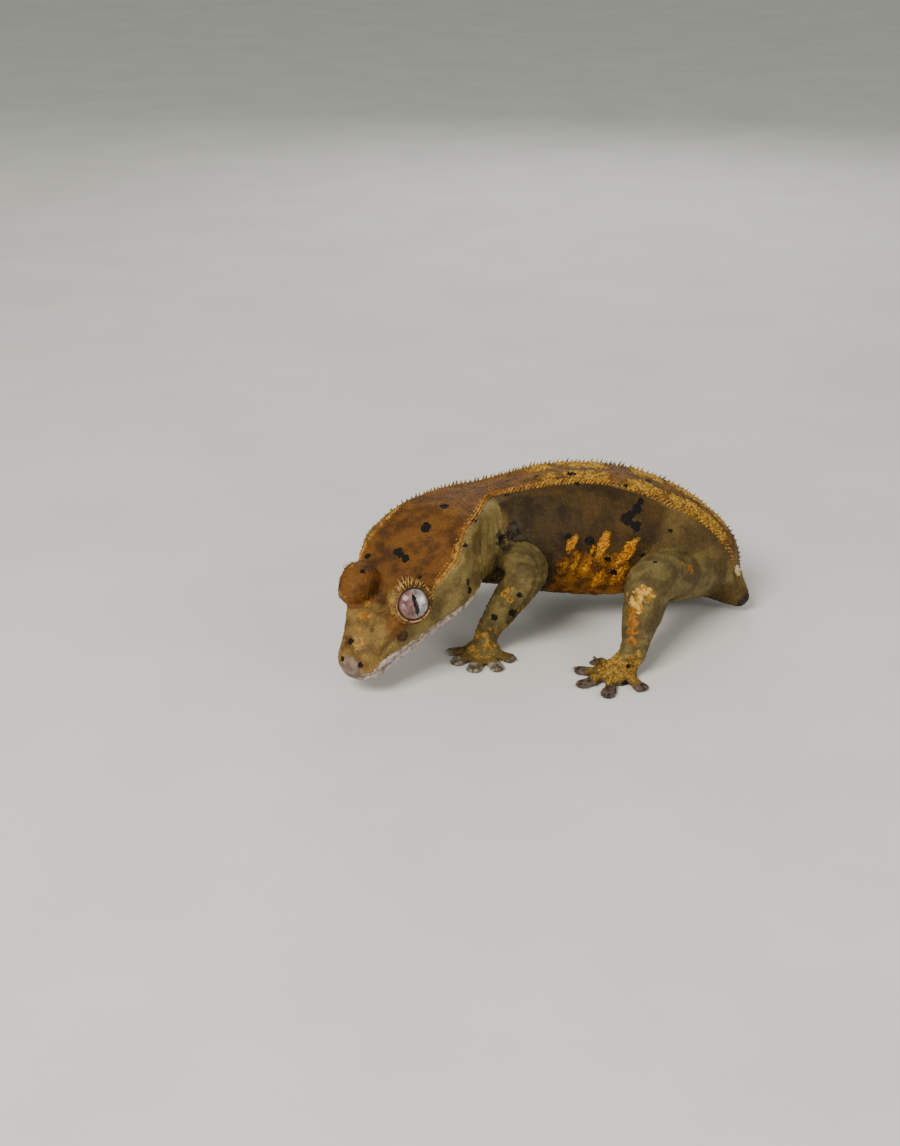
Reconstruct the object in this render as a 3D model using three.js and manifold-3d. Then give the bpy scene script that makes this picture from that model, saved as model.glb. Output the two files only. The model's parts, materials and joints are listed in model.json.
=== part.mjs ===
// A crested gecko at life size, still, in millimetres with +Z up: an adult that has lost its tail.
// It crouches on a flat surface at Z 0 with its back arched, its head low and turned to its left.
// X runs along the trunk, with the head towards -X, and the animal's left side faces -Y.
import * as THREE from "three";
import { mergeVertices } from "three/addons/utils/BufferGeometryUtils.js";
import Module from "manifold-3d";

const wasm = await Module();
wasm.setup();

const vec = (x, y, z) => new THREE.Vector3(x, y, z);
const degrees = THREE.MathUtils.degToRad;
const mix = (a, b, t) => a + (b - a) * t;

// Driving dimensions
const ORIGIN_SHIFT = [-0.627, -1.389, 0]; // moves the origin to the middle of the footprint
const GAP = 0.3; // between nodes that meet
const LIMB_SIDES = 12;
const TOE_SIDES = 7;

// Pose of the head
const SNOUT_TIP = vec(-35.2, -35.2, 3.9);
const HEAD_YAW = 55; // towards the animal's left, from straight ahead
const HEAD_PITCH = 25; // nose down
const HEAD_ROLL = 2; // left side up
const NAPE = 27.7; // from the snout tip to the back of the head
const AXIS_RISE = 2.6; // of the body's centre line above the line of the mouth

// Head details, placed by distance back from the snout tip, left of the middle and up from the mouth
const SNOUT_ROUND = 3.2; // length of the rounded end of the snout
const MOUTH_END = 21.5; // how far back the mouth is slit
const EYE = { back: 13.6, left: 5.5, up: 7, radius: 3.4 };
const EYE_OPENING = 2.9; // radius of the opening between the lids
const EYE_DOME = 4; // radius of the skin that bulges round the eye
const LID = { ring: 3.15, thick: 0.4, out: 1.8 };
const NOSTRIL = { back: 1.5, left: 2.5, up: 2.1, radius: 0.5 };
const EAR = { back: 24, left: 9.9, up: 3, half: [0.7, 1, 1.3] };

// Trunk
const CREST_ANGLE = 30; // of the crest from the middle of the back
const CREST_RIDGE = 0.5;
const FULLNESS = 2.2; // 2 gives an ellipse and more gives a boxier section
const RUMP_ROUND = 3; // length of the rounded end of the tail stub
const HEAD_FADE = [30, 50]; // where the head's section turns into the trunk's
const HALF_STEPS = 12;
const CUTS = [42.75, 62.75, 80.25, 92.75]; // between the trunk's nodes, from the snout tip

// Spines of the two crests and the lashes over the eyes
const SPINE_PITCH = 1.65;
const SPINE_HALF = 0.42; // of the root's width
const SPINE_SINK = 0.7; // of the root into the skin
const CREST_START = 17.5; // from the snout tip, behind the eye
const CREST_END = 94;
const LASHES = 11; // over each eye
const LASH_ARC = [-80, 130]; // round the eye from its top, towards the snout and towards the nape
const LASH_LENGTH = 1.5;

// Legs: where each joint is, from the body outwards, with the radius there
const PALM = { half: 3.4, height: 3 };
const CLAW = { length: 0.9, half: 0.3 };
const ARM_TOES = [6.4, 7, 7.6, 7.4, 6.4];
const LEG_TOES = [7, 7.8, 8.4, 8.4, 7];
const LEGS = {
  arm_left: {
    joints: [vec(-10, -3, 15), vec(-4.2, -16.4, 15), vec(-11.2, -18.6, 4.4)],
    radii: [4.6, 3.5, 2.1],
    foot: vec(-12.2, -20, 0),
    fan: [176, 216, 254, 292, 334],
    toes: ARM_TOES,
  },
  arm_right: {
    joints: [vec(-10, 3, 14), vec(-11, 16, 12), vec(-17, 22, 4.2)],
    radii: [4.6, 3.5, 2.1],
    foot: vec(-18, 25, 0),
    fan: [30, 70, 105, 145, 190],
    toes: ARM_TOES,
  },
  leg_left: {
    joints: [vec(29, 0, 8), vec(18, -16, 12.4), vec(13.8, -26.4, 3.8)],
    radii: [5.6, 4.3, 2.3],
    foot: vec(11.2, -28.4, 0),
    fan: [122, 166, 208, 252, 310],
    toes: LEG_TOES,
  },
  leg_right: {
    joints: [vec(30, 5, 8), vec(23, 19, 8.5), vec(27, 29, 3.6)],
    radii: [5.6, 4.3, 2.3],
    foot: vec(24, 31, 0),
    fan: [20, 62, 104, 148, 190],
    toes: LEG_TOES,
  },
};

// A smooth curve through keys [[x, value], ...], for one number.
function profile(keys) {
  return (x) => {
    let i = 0;
    while (i < keys.length - 2 && x > keys[i + 1][0]) i++;
    const slope = (j) => {
      const a = keys[Math.max(j - 1, 0)];
      const b = keys[Math.min(j + 1, keys.length - 1)];
      return (b[1] - a[1]) / (b[0] - a[0]);
    };
    const [x0, y0] = keys[i];
    const [x1, y1] = keys[i + 1];
    const w = x1 - x0;
    const t = Math.min(Math.max((x - x0) / w, 0), 1);
    const t2 = t * t;
    const t3 = t2 * t;
    return (
      y0 * (2 * t3 - 3 * t2 + 1) +
      slope(i) * w * (t3 - 2 * t2 + t) +
      y1 * (3 * t2 - 2 * t3) +
      slope(i + 1) * w * (t3 - t2)
    );
  };
}

function ease(t) {
  const x = Math.min(Math.max(t, 0), 1);
  return x * x * (3 - 2 * x);
}

// Numbers from 0 to 1 that are the same on every run.
function seeded(start) {
  let state = start;
  return () => {
    state = (state * 16807) % 2147483647;
    return state / 2147483647;
  };
}

// Closed solid from rings of points, each ring with as many points as the next.
function loft(rings) {
  const n = rings[0].length;
  const points = rings.flat();
  const faces = [];
  for (let r = 0; r + 1 < rings.length; r++) {
    for (let i = 0; i < n; i++) {
      const a = r * n + i;
      const b = r * n + ((i + 1) % n);
      faces.push(a, b, b + n, a, b + n, a + n);
    }
  }
  for (const start of [0, (rings.length - 1) * n]) {
    const middle = points.length;
    const ring = points.slice(start, start + n);
    points.push(ring.reduce((s, p) => s.add(p), vec(0, 0, 0)).divideScalar(n));
    for (let i = 0; i < n; i++) {
      const a = start + i;
      const b = start + ((i + 1) % n);
      if (start) faces.push(middle, a, b);
      else faces.push(middle, b, a);
    }
  }
  const geometry = new THREE.BufferGeometry().setFromPoints(points);
  geometry.setIndex(faces);
  return solid(geometry);
}

function manifoldOf(positions, faces) {
  const vertProperties = new Float32Array(positions);
  const triVerts = new Uint32Array(faces);
  return new wasm.Manifold(new wasm.Mesh({ numProp: 3, vertProperties, triVerts }));
}

// A geometry as a solid, turned right side out.
function solid(geometry) {
  const bare = geometry.clone();
  bare.deleteAttribute("normal");
  bare.deleteAttribute("uv");
  const merged = mergeVertices(bare, 1e-4);
  const faces = merged.index.array;
  const made = manifoldOf(merged.attributes.position.array, faces);
  if (made.volume() > 0) return made;
  const turned = faces.map((_, i) => faces[[i, i + 1, i - 1][i % 3]]);
  return manifoldOf(merged.attributes.position.array, turned);
}

const join = (solids) => solids.reduce((a, b) => a.add(b));
const cutFrom = (made, cutters) => cutters.reduce((a, b) => a.subtract(b), made);

// The biggest closed surface of a solid, which drops any loose scrap.
function largest(made) {
  const bodies = made.decompose();
  return bodies.reduce((a, b) => (b.volume() > a.volume() ? b : a));
}

// Keeps the side of a plane that its normal points to, held back from it by half the gap.
function keepBeyond(made, point, normal) {
  const n = normal.clone().normalize();
  return made.trimByPlane([n.x, n.y, n.z], n.dot(point) + GAP / 2);
}

// A geometry turned so that one of its axes points along a direction, and moved to a centre.
function place(geometry, axis, direction, centre) {
  geometry.applyQuaternion(new THREE.Quaternion().setFromUnitVectors(axis, direction));
  geometry.translate(centre.x, centre.y, centre.z);
  return solid(geometry);
}

const ball = (centre, radius) =>
  place(new THREE.SphereGeometry(radius, 16, 10), vec(0, 1, 0), vec(0, 0, 1), centre);

// A pointed spine or claw with its root sunk below the point it grows from.
function spike(root, direction, length, half, sink) {
  const whole = length + sink;
  const geometry = new THREE.ConeGeometry((half * whole) / length, whole, 5);
  const middle = root.clone().addScaledVector(direction, whole / 2 - sink);
  return place(geometry, vec(0, 1, 0), direction, middle);
}

// Head frame: forward, left, and up from the line of the mouth.
const headForward = vec(
  -Math.cos(degrees(HEAD_PITCH)) * Math.cos(degrees(HEAD_YAW)),
  -Math.cos(degrees(HEAD_PITCH)) * Math.sin(degrees(HEAD_YAW)),
  -Math.sin(degrees(HEAD_PITCH)),
);
const headLeft = vec(0, 0, 1)
  .cross(headForward)
  .normalize()
  .applyAxisAngle(headForward, degrees(-HEAD_ROLL));
const headUp = headForward.clone().cross(headLeft);

function headPoint(back, left, up) {
  return SNOUT_TIP.clone()
    .addScaledVector(headForward, -back)
    .addScaledVector(headLeft, left)
    .addScaledVector(headUp, up);
}

function headDirection(back, left, up) {
  return headPoint(back, left, up).sub(SNOUT_TIP).normalize();
}

// A geometry drawn with X forward, Y left and Z up, placed in the head frame.
function inHead(geometry, back, left, up) {
  geometry.applyMatrix4(new THREE.Matrix4().makeBasis(headForward, headLeft, headUp));
  const at = headPoint(back, left, up);
  geometry.translate(at.x, at.y, at.z);
  return solid(geometry);
}

// One centre line from the snout tip to the stub of the tail. Distances along it start at the snout.
const SPINE = [
  ...[0, 8, 16, 24, 30].map((back) => headPoint(back, 0, AXIS_RISE)),
  vec(-14, -5.4, 17.4),
  vec(-5, -1, 16.2),
  vec(5, 2, 15.2),
  vec(14, 2.5, 14.2),
  vec(22.5, 2.5, 11.8),
  vec(29.5, 2, 8.2),
  vec(34, 0.5, 4.6),
  vec(38, -3, 2),
];
const spineCurve = new THREE.CatmullRomCurve3(SPINE);
spineCurve.arcLengthDivisions = 800;
const SPINE_LENGTH = spineCurve.getLength();

function bodyFrame(along) {
  const u = Math.min(Math.max(along / SPINE_LENGTH, 0), 1);
  const centre = spineCurve.getPointAt(u);
  const back = spineCurve.getTangentAt(u);
  const roll = degrees(HEAD_ROLL) * (1 - ease((along - NAPE) / 25));
  const left = back.clone().cross(vec(0, 0, 1)).normalize().applyAxisAngle(back, roll);
  const up = left.clone().cross(back);
  return { centre, back, left, up };
}

// Head and neck sizes against the distance from the snout tip, heights from the line of the mouth.
const jawHalf = profile([
  [0, 3.6], [4.5, 4.8], [9, 6.1], [13.5, 7.5], [18, 8.9], [22, 10.1], [25, 10.3], [28, 9.6],
  [33, 8.6], [40, 8.6], [50, 9.6],
]);
const crestHalf = profile([
  [0, 2.2], [4.5, 3.6], [9, 5.1], [13.5, 6.5], [18, 8], [22.5, 9.6], [25.5, 9.9], [28.5, 8.6],
  [33, 7], [40, 6.6], [50, 6.4],
]);
const crestHeight = profile([
  [0, 2.2], [4.5, 3.9], [9, 5.8], [13.5, 7], [18, 7.7], [22.5, 8.2], [27, 8.5], [33, 9.2],
  [40, 10.4], [50, 11.6],
]);
const crownHeight = profile([
  [0, 2.5], [4.5, 4.2], [9, 5.8], [13.5, 6.8], [18, 7.6], [22.5, 8.4], [27, 9.2], [33, 10.4],
  [40, 11.2], [50, 12.4],
]);
const jawDepth = profile([
  [0, 1.4], [4.5, 2], [9, 2.7], [13.5, 3.3], [18, 3.9], [22.5, 4.3], [27, 4.5], [33, 4.8],
  [40, 5.4], [50, 7],
]);
const lipGroove = profile([[0, 0.35], [20, 0.35], [24, 0], [50, 0]]);

// Half a head section from the crown to the chin, as [left, up] from the line of the mouth.
function headHalf(back) {
  const round = Math.sqrt(1 - (1 - Math.min((back + 0.05) / SNOUT_ROUND, 1)) ** 2);
  const jaw = jawHalf(back);
  const crest = crestHalf(back);
  const high = crestHeight(back);
  const crown = crownHeight(back);
  const deep = jawDepth(back);
  return [
    [0, crown],
    [crest * 0.55, mix(crown, high, 0.4)],
    [crest, high],
    [mix(crest, jaw, 0.35), high * 0.8],
    [mix(crest, jaw, 0.6), high * 0.6],
    [mix(crest, jaw, 0.82), high * 0.4],
    [mix(crest, jaw, 0.97), high * 0.2],
    [jaw, high * 0.06],
    [jaw - lipGroove(back), 0],
    [jaw - 0.1, -deep * 0.25],
    [jaw * 0.86, -deep * 0.65],
    [jaw * 0.5, -deep * 0.97],
    [0, -deep],
  ].map(([left, up]) => [left * round, up * round]);
}

// Trunk sizes from the snout tip, as half the width and the height above and below the centre line.
const trunkHalf = profile([
  [30, 9], [41, 9.2], [48, 10.4], [56, 12], [66, 12.4], [75, 11.6], [83, 9.8], [89, 7.4],
  [93, 4.4], [97, 2.4],
]);
const trunkRise = profile([
  [30, 7.8], [41, 8.4], [48, 9.8], [56, 11.5], [66, 12], [75, 11.2], [83, 9.6], [89, 7.4],
  [93, 4.4], [97, 2.2],
]);
const trunkFall = profile([
  [30, 7.2], [41, 8.6], [48, 10], [56, 11.4], [66, 11.8], [75, 10.2], [83, 8], [89, 5.8],
  [93, 3.8], [97, 2.2],
]);

function trunkHalfSection(along) {
  const left = SPINE_LENGTH - along;
  const round = Math.sqrt(1 - (1 - Math.min((left + 0.05) / RUMP_ROUND, 1)) ** 2);
  return Array.from({ length: HALF_STEPS + 1 }, (_, k) => {
    const angle = (Math.PI * k) / HALF_STEPS;
    const across = Math.abs(Math.sin(angle)) ** (2 / FULLNESS);
    const high = Math.cos(angle);
    const ridge = CREST_RIDGE * Math.exp(-(((angle - degrees(CREST_ANGLE)) / 0.16) ** 2));
    const reach = high > 0 ? trunkRise(along) + ridge : trunkFall(along);
    const up = reach * Math.sign(high) * Math.abs(high) ** (2 / FULLNESS);
    return [trunkHalf(along) * across * round, up * round];
  });
}

// Points round the body at a distance from the snout, from the middle of the back down the left side.
function bodyRing(along, grow = 0) {
  const { centre, left, up } = bodyFrame(along);
  const toTrunk = ease((along - HEAD_FADE[0]) / (HEAD_FADE[1] - HEAD_FADE[0]));
  const trunk = trunkHalfSection(Math.max(along, HEAD_FADE[0]));
  const head = headHalf(Math.min(along, HEAD_FADE[1]));
  const half = trunk.map(([l, u], k) => [
    mix(head[k][0], l, toTrunk),
    mix(head[k][1] - AXIS_RISE, u, toTrunk),
  ]);
  const right = half.slice(1, HALF_STEPS).reverse().map(([l, u]) => [-l, u]);
  return [...half, ...right].map(([l, u]) => {
    const size = Math.hypot(l, u) || 1;
    const p = centre
      .clone()
      .addScaledVector(left, l * (1 + grow / size))
      .addScaledVector(up, u * (1 + grow / size));
    p.z = Math.max(p.z, 0);
    return p;
  });
}

function bodyLoft(from, grow) {
  const stations = from > 0 ? [] : [0, 0.25, 0.8, 1.6, 2.6];
  for (let s = Math.max(from, 4); s < SPINE_LENGTH - 3; s += 2.5) stations.push(s);
  for (const left of [2.6, 1.4, 0.5, 0.1]) stations.push(SPINE_LENGTH - left);
  return loft(stations.map((s) => bodyRing(s, grow)));
}

// The spines along one crest between two cuts, longest on the head and shortest on the rump.
function crestSpines(side, from, to) {
  const random = seeded(side > 0 ? 11 : 29);
  const length = profile([[CREST_START, 0.8], [26, 1], [45, 0.85], [75, 0.75], [CREST_END, 0.6]]);
  const count = Math.max(1, Math.round((to - from) / SPINE_PITCH));
  return Array.from({ length: count }, (_, i) => {
    const along = mix(from, to, (i + 0.5) / count);
    const { centre, back, up } = bodyFrame(along);
    const ring = bodyRing(along);
    const root = ring[side > 0 ? 2 : ring.length - 2];
    const out = root.clone().sub(centre).normalize();
    const direction = out
      .addScaledVector(up, 0.5)
      .addScaledVector(back, mix(0.05, 0.3, random()))
      .normalize();
    return spike(root, direction, length(along) * mix(0.8, 1.2, random()), SPINE_HALF, SPINE_SINK);
  });
}

function eyeAxis(side) {
  return headDirection(-0.38, 0.78 * side, 0.5);
}

function eyeCentre(side) {
  return headPoint(EYE.back, EYE.left * side, EYE.up);
}

// The skin that bulges round an eye, with the rim of its lids and the lashes over it.
function eyeDome(side) {
  const axis = eyeAxis(side);
  const centre = eyeCentre(side);
  const dome = ball(centre.clone().addScaledVector(axis, -0.3), EYE_DOME);
  const rimCentre = centre.clone().addScaledVector(axis, LID.out);
  const torus = new THREE.TorusGeometry(LID.ring, LID.thick, 5, 16);
  const rim = place(torus, vec(0, 0, 1), axis, rimCentre);
  const top = headUp.clone().addScaledVector(axis, -headUp.dot(axis)).normalize();
  const front = axis.clone().cross(top).multiplyScalar(side);
  if (front.dot(headForward) < 0) front.negate();
  const random = seeded(side > 0 ? 47 : 83);
  const lashes = Array.from({ length: LASHES }, (_, i) => {
    const turn = degrees(mix(LASH_ARC[0], LASH_ARC[1], i / (LASHES - 1)));
    const out = top.clone().multiplyScalar(Math.cos(turn)).addScaledVector(front, -Math.sin(turn));
    const root = rimCentre.clone().addScaledVector(out, LID.ring + 0.2);
    const direction = out.clone().addScaledVector(axis, 0.35).normalize();
    return spike(root, direction, LASH_LENGTH * mix(0.75, 1.2, random()), SPINE_HALF, SPINE_SINK);
  });
  return join([dome, rim, ...lashes]);
}

// What is cut out round an eye: room for the ball, and the opening between the lids.
function eyeSocket(side) {
  const axis = eyeAxis(side);
  const centre = eyeCentre(side);
  const opening = new THREE.CylinderGeometry(EYE_OPENING, EYE_OPENING, 8, 16);
  const outside = centre.clone().addScaledVector(axis, 4);
  return join([ball(centre, EYE.radius + GAP), place(opening, vec(0, 1, 0), axis, outside)]);
}

function earPit(side) {
  const geometry = new THREE.SphereGeometry(1, 8, 6);
  geometry.scale(...EAR.half);
  return inHead(geometry, EAR.back, EAR.left * side, EAR.up);
}

function nostril(side) {
  const geometry = new THREE.SphereGeometry(NOSTRIL.radius, 6, 5);
  return inHead(geometry, NOSTRIL.back, NOSTRIL.left * side, NOSTRIL.up);
}

// Everything below the line of the mouth as far back as the mouth goes, with a margin.
function belowMouth(margin) {
  const length = MOUTH_END + 4 + margin;
  const geometry = new THREE.BoxGeometry(length, 30, 12 + margin);
  return inHead(geometry, length / 2 - 4, 0, -(12 - margin) / 2);
}

// A round limb through its joints, with a radius at each.
function tube(points, radii) {
  const curve = new THREE.CatmullRomCurve3(points);
  const radiusAt = profile(radii.map((r, i) => [i / (radii.length - 1), r]));
  const steps = (points.length - 1) * 4;
  const rings = Array.from({ length: steps + 1 }, (_, k) => {
    const t = k / steps;
    const centre = curve.getPoint(t);
    const ahead = curve.getTangent(t);
    const side = ahead.clone().cross(vec(0, 0, 1)).normalize();
    const up = side.clone().cross(ahead);
    const end = k === 0 || k === steps;
    const r = radiusAt(t) * (end ? 0.8 : 1);
    return Array.from({ length: LIMB_SIDES }, (_, i) => {
      const angle = (2 * Math.PI * i) / LIMB_SIDES;
      const p = centre
        .clone()
        .addScaledVector(side, r * Math.cos(angle))
        .addScaledVector(up, r * Math.sin(angle));
      p.z = Math.max(p.z, 0);
      return p;
    });
  });
  return loft(rings);
}

function legTube({ joints, radii, foot }) {
  const [a, b, c] = joints;
  const [ra, rb, rc] = radii;
  const points = [a, a.clone().lerp(b, 0.5), b, b.clone().lerp(c, 0.5), c, foot.clone().setZ(1.6)];
  return tube(points, [ra, mix(ra, rb, 0.55), rb, mix(rb, rc, 0.45), rc, 2]);
}

// One toe: a narrow root, a broad flat pad and a claw beyond its tip.
function toe(root, angle, length) {
  const ahead = vec(Math.cos(angle), Math.sin(angle), 0);
  const side = vec(-ahead.y, ahead.x, 0);
  const half = profile([[0, 0.9], [0.4, 0.85], [0.65, 1.3], [0.85, 1.55], [0.95, 1.25], [1, 0.6]]);
  const thick = profile([[0, 1.9], [0.4, 1.6], [0.65, 1.1], [0.85, 0.9], [1, 0.6]]);
  const rings = [0, 0.3, 0.5, 0.66, 0.82, 0.94, 1].map((t) =>
    Array.from({ length: TOE_SIDES }, (_, i) => {
      const turn = (2 * Math.PI * (i + 0.5)) / TOE_SIDES;
      const p = root
        .clone()
        .addScaledVector(ahead, length * t)
        .addScaledVector(side, half(t) * Math.cos(turn));
      p.z = Math.max(0, thick(t) * (0.5 + 0.54 * Math.sin(turn)));
      return p;
    }),
  );
  const tip = root.clone().addScaledVector(ahead, length * 0.97).setZ(0.5);
  const claw = spike(tip, ahead, CLAW.length, CLAW.half, 0.6);
  return join([loft(rings), claw]);
}

function palm({ foot }) {
  const geometry = new THREE.SphereGeometry(1, 14, 8);
  geometry.scale(PALM.half, PALM.half, PALM.height);
  geometry.translate(foot.x, foot.y, 0);
  return solid(geometry).trimByPlane([0, 0, 1], 0);
}

const colours = {
  skin: new THREE.MeshStandardMaterial({ color: 0x8a6428, roughness: 0.6, metalness: 0 }),
  lip: new THREE.MeshStandardMaterial({ color: 0xa8988a, roughness: 0.6, metalness: 0 }),
  eye: new THREE.MeshStandardMaterial({ color: 0xb9a7a2, roughness: 0.1, metalness: 0 }),
  stub: new THREE.MeshStandardMaterial({ color: 0x4a3420, roughness: 0.6, metalness: 0 }),
};

const gecko = new THREE.Group();
gecko.name = "crested_gecko";
gecko.position.set(...ORIGIN_SHIFT);

function addNode(name, made, material) {
  const kept = largest(made).getMesh();
  const stride = kept.numProp;
  const positions = new Float32Array(kept.numVert * 3);
  for (let i = 0; i < kept.numVert; i++)
    positions.set(kept.vertProperties.subarray(i * stride, i * stride + 3), i * 3);
  const geometry = new THREE.BufferGeometry();
  geometry.setAttribute("position", new THREE.BufferAttribute(positions, 3));
  geometry.setIndex(new THREE.BufferAttribute(kept.triVerts, 1));
  geometry.computeVertexNormals();
  const mesh = new THREE.Mesh(geometry, material);
  mesh.name = name;
  gecko.add(mesh);
}

// Rows of crest spines, kept clear of the cuts between nodes.
function spinesBetween(from, to) {
  const clear = 1;
  return [1, -1].flatMap((side) => crestSpines(side, from + clear, to - clear));
}

const body = bodyLoft(0, 0);
const bodyGrown = bodyLoft(NAPE, GAP);
const sides = [1, -1];

// Head, lower jaw and eyes
const headForms = [eyeDome(1), eyeDome(-1), ...spinesBetween(CREST_START, NAPE)];
const pits = sides.flatMap((side) => [eyeSocket(side), earPit(side), nostril(side)]);
const napePoint = headPoint(NAPE, 0, 0);
const wholeHead = cutFrom(keepBeyond(join([body, ...headForms]), napePoint, headForward), pits);
addNode("head", wholeHead.subtract(belowMouth(GAP / 2)), colours.skin);
addNode("lower_jaw", wholeHead.intersect(belowMouth(-GAP / 2)), colours.lip);
addNode("eye_left", ball(eyeCentre(1), EYE.radius), colours.eye);
addNode("eye_right", ball(eyeCentre(-1), EYE.radius), colours.eye);

// Neck, trunk and tail stub
const names = ["neck", "torso_front", "torso_rear", "rump", "tail_stub"];
const ends = [NAPE, ...CUTS, CREST_END];
names.forEach((name, i) => {
  const spines = i < 4 ? spinesBetween(ends[i], ends[i + 1]) : [];
  const start = i ? bodyFrame(ends[i]) : { centre: napePoint, back: headForward.clone().negate() };
  let made = keepBeyond(join([body, ...spines]), start.centre, start.back);
  if (i < 4) {
    const end = bodyFrame(ends[i + 1]);
    made = keepBeyond(made, end.centre, end.back.negate());
  }
  addNode(name, made, i < 4 ? colours.skin : colours.stub);
});

// Legs, each parted at its two joints
for (const [key, leg] of Object.entries(LEGS)) {
  const [part, side] = key.split("_");
  const [upper, lower, end] =
    part === "arm" ? ["upper_arm", "forearm", "front_foot"] : ["thigh", "shank", "hind_foot"];
  const toes = leg.fan.map((angle, i) => toe(leg.foot, degrees(angle), leg.toes[i]));
  const whole = join([legTube(leg), palm(leg), ...toes]).subtract(bodyGrown);
  const [a, b, c] = leg.joints;
  const shin = c.clone().sub(b);
  const bend = b.clone().sub(a).normalize().add(shin.clone().normalize());
  const beyond = keepBeyond(whole, b, bend);
  addNode(upper + "_" + side, keepBeyond(whole, b, bend.clone().negate()), colours.skin);
  addNode(lower + "_" + side, keepBeyond(beyond, c, shin.clone().negate()), colours.skin);
  addNode(end + "_" + side, keepBeyond(beyond, c, shin), colours.skin);
}

export default gecko;
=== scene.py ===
# %% [markdown]
# # A crested gecko at life size
# This script dresses the solid model of a crouching crested gecko. The solids arrive as a fixed
# frame in metres, so nothing here is fitted by hand: every form repeats the sizes that shaped them.
# The order is the one a sculptor keeps: body first, then folds, then scales, eyes and claws.

# %% Load the frame
import itertools
import json
import math

import bpy
import numpy as np
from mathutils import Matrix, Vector
from mathutils.bvhtree import BVHTree

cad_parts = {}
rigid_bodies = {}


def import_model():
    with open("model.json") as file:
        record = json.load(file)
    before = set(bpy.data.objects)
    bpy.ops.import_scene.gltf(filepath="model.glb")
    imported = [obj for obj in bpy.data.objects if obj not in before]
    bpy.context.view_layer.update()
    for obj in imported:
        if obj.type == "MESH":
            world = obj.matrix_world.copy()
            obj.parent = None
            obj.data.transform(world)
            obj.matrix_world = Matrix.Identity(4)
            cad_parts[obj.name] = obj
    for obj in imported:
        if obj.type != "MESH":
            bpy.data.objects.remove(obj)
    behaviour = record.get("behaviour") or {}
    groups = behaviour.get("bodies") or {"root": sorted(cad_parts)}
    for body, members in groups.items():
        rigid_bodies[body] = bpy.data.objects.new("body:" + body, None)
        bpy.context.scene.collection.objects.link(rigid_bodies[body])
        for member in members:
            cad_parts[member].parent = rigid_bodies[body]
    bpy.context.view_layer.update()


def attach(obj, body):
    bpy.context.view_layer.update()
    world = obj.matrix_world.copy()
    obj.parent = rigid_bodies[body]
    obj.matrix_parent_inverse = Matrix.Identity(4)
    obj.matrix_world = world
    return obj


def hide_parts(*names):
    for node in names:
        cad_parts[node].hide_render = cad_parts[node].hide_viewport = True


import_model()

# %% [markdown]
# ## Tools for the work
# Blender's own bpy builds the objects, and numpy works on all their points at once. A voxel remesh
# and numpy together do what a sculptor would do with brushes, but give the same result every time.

# %% [markdown]
# ## Units
# A gecko is easier to think of in millimetres, so the shapes are worked out in them, in the pose in
# which the solids were drawn. One function moves points to the frame, whose origin is the middle of
# the footprint.

# %% Millimetres to the frame
MM = 0.001
ORIGIN_SHIFT = np.array([-0.627, -1.389, 0.0])


def to_frame(points):
    return (np.asarray(points) + ORIGIN_SHIFT) * MM


print("1 mm is", MM, "of the frame's metres")

# %% [markdown]
# ## The camera
# The picture looks down at the animal's left side from a little above. A camera is a place, a
# direction and a lens: the place is worked out from the point that it aims at, the angle above the
# horizon and the distance, so that the angle can be read here and changed in one line.

# %% Camera
CAMERA_AIM = np.array([-18.2, -2.7, 8.2])
CAMERA_RISE = math.radians(25)
CAMERA_DISTANCE = 300.0
LENS_MM = 50.0
SENSOR_MM = 36.0
PICTURE = (900, 1146)

to_camera = np.array([0.0, -math.cos(CAMERA_RISE), math.sin(CAMERA_RISE)])
camera_up = np.array([0.0, math.sin(CAMERA_RISE), math.cos(CAMERA_RISE)])
camera_place = CAMERA_AIM + CAMERA_DISTANCE * to_camera
camera_data = bpy.data.cameras.new("camera")
camera_data.lens = LENS_MM
camera_data.sensor_fit = "VERTICAL"
camera_data.sensor_width = SENSOR_MM
camera_data.sensor_height = SENSOR_MM
camera_data.clip_start = 0.01
camera = bpy.data.objects.new("camera", camera_data)
camera.location = Vector(to_frame(camera_place))
camera.rotation_euler = Vector(-to_camera).to_track_quat("-Z", "Y").to_euler()
bpy.context.scene.collection.objects.link(camera)
bpy.context.scene.camera = camera
print("camera at", [round(v, 4) for v in camera.location])

# %% [markdown]
# ## Floor and light
# The animal stands on a plain pale floor. Soft light comes from large area lamps, because a small
# lamp would throw hard shadows from every scale. The key lamp stands high and left of the camera,
# a weaker one fills the other side, and a third lights the far edge so that the crest reads. A
# small low one stands for a window, and gives the near eye its warm glint.


# %% Floor
def new_object(name, verts, faces, smooth=True):
    """A mesh object from points in the drawing's millimetres."""
    mesh = bpy.data.meshes.new(name)
    mesh.from_pydata(to_frame(verts).tolist(), [], [list(map(int, f)) for f in faces])
    mesh.polygons.foreach_set("use_smooth", np.full(len(mesh.polygons), smooth))
    mesh.update()
    made = bpy.data.objects.new(name, mesh)
    bpy.context.scene.collection.objects.link(made)
    return made


FLOOR_HALF = 1500.0
FLOOR_SINK = 0.02
floor_corners = [(-1, -1, 0), (1, -1, 0), (1, 1, 0), (-1, 1, 0)]
floor = new_object("floor", np.array(floor_corners) * FLOOR_HALF, [(0, 1, 2, 3)], smooth=False)
floor.location.z = -FLOOR_SINK * MM
print("floor", 2 * FLOOR_HALF * MM, "m wide, a hair under the soles")


# %% Lamps
def area_lamp(name, place, size, watts, tint=(1.0, 1.0, 1.0)):
    """A square lamp at a place in millimetres that faces the animal."""
    data = bpy.data.lights.new(name, "AREA")
    data.size = size * MM
    data.energy = watts
    data.color = tint
    lamp = bpy.data.objects.new(name, data)
    lamp.location = Vector(np.array(place) * MM)
    lamp.rotation_euler = (-Vector(place)).to_track_quat("-Z", "Y").to_euler()
    bpy.context.scene.collection.objects.link(lamp)


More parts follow.
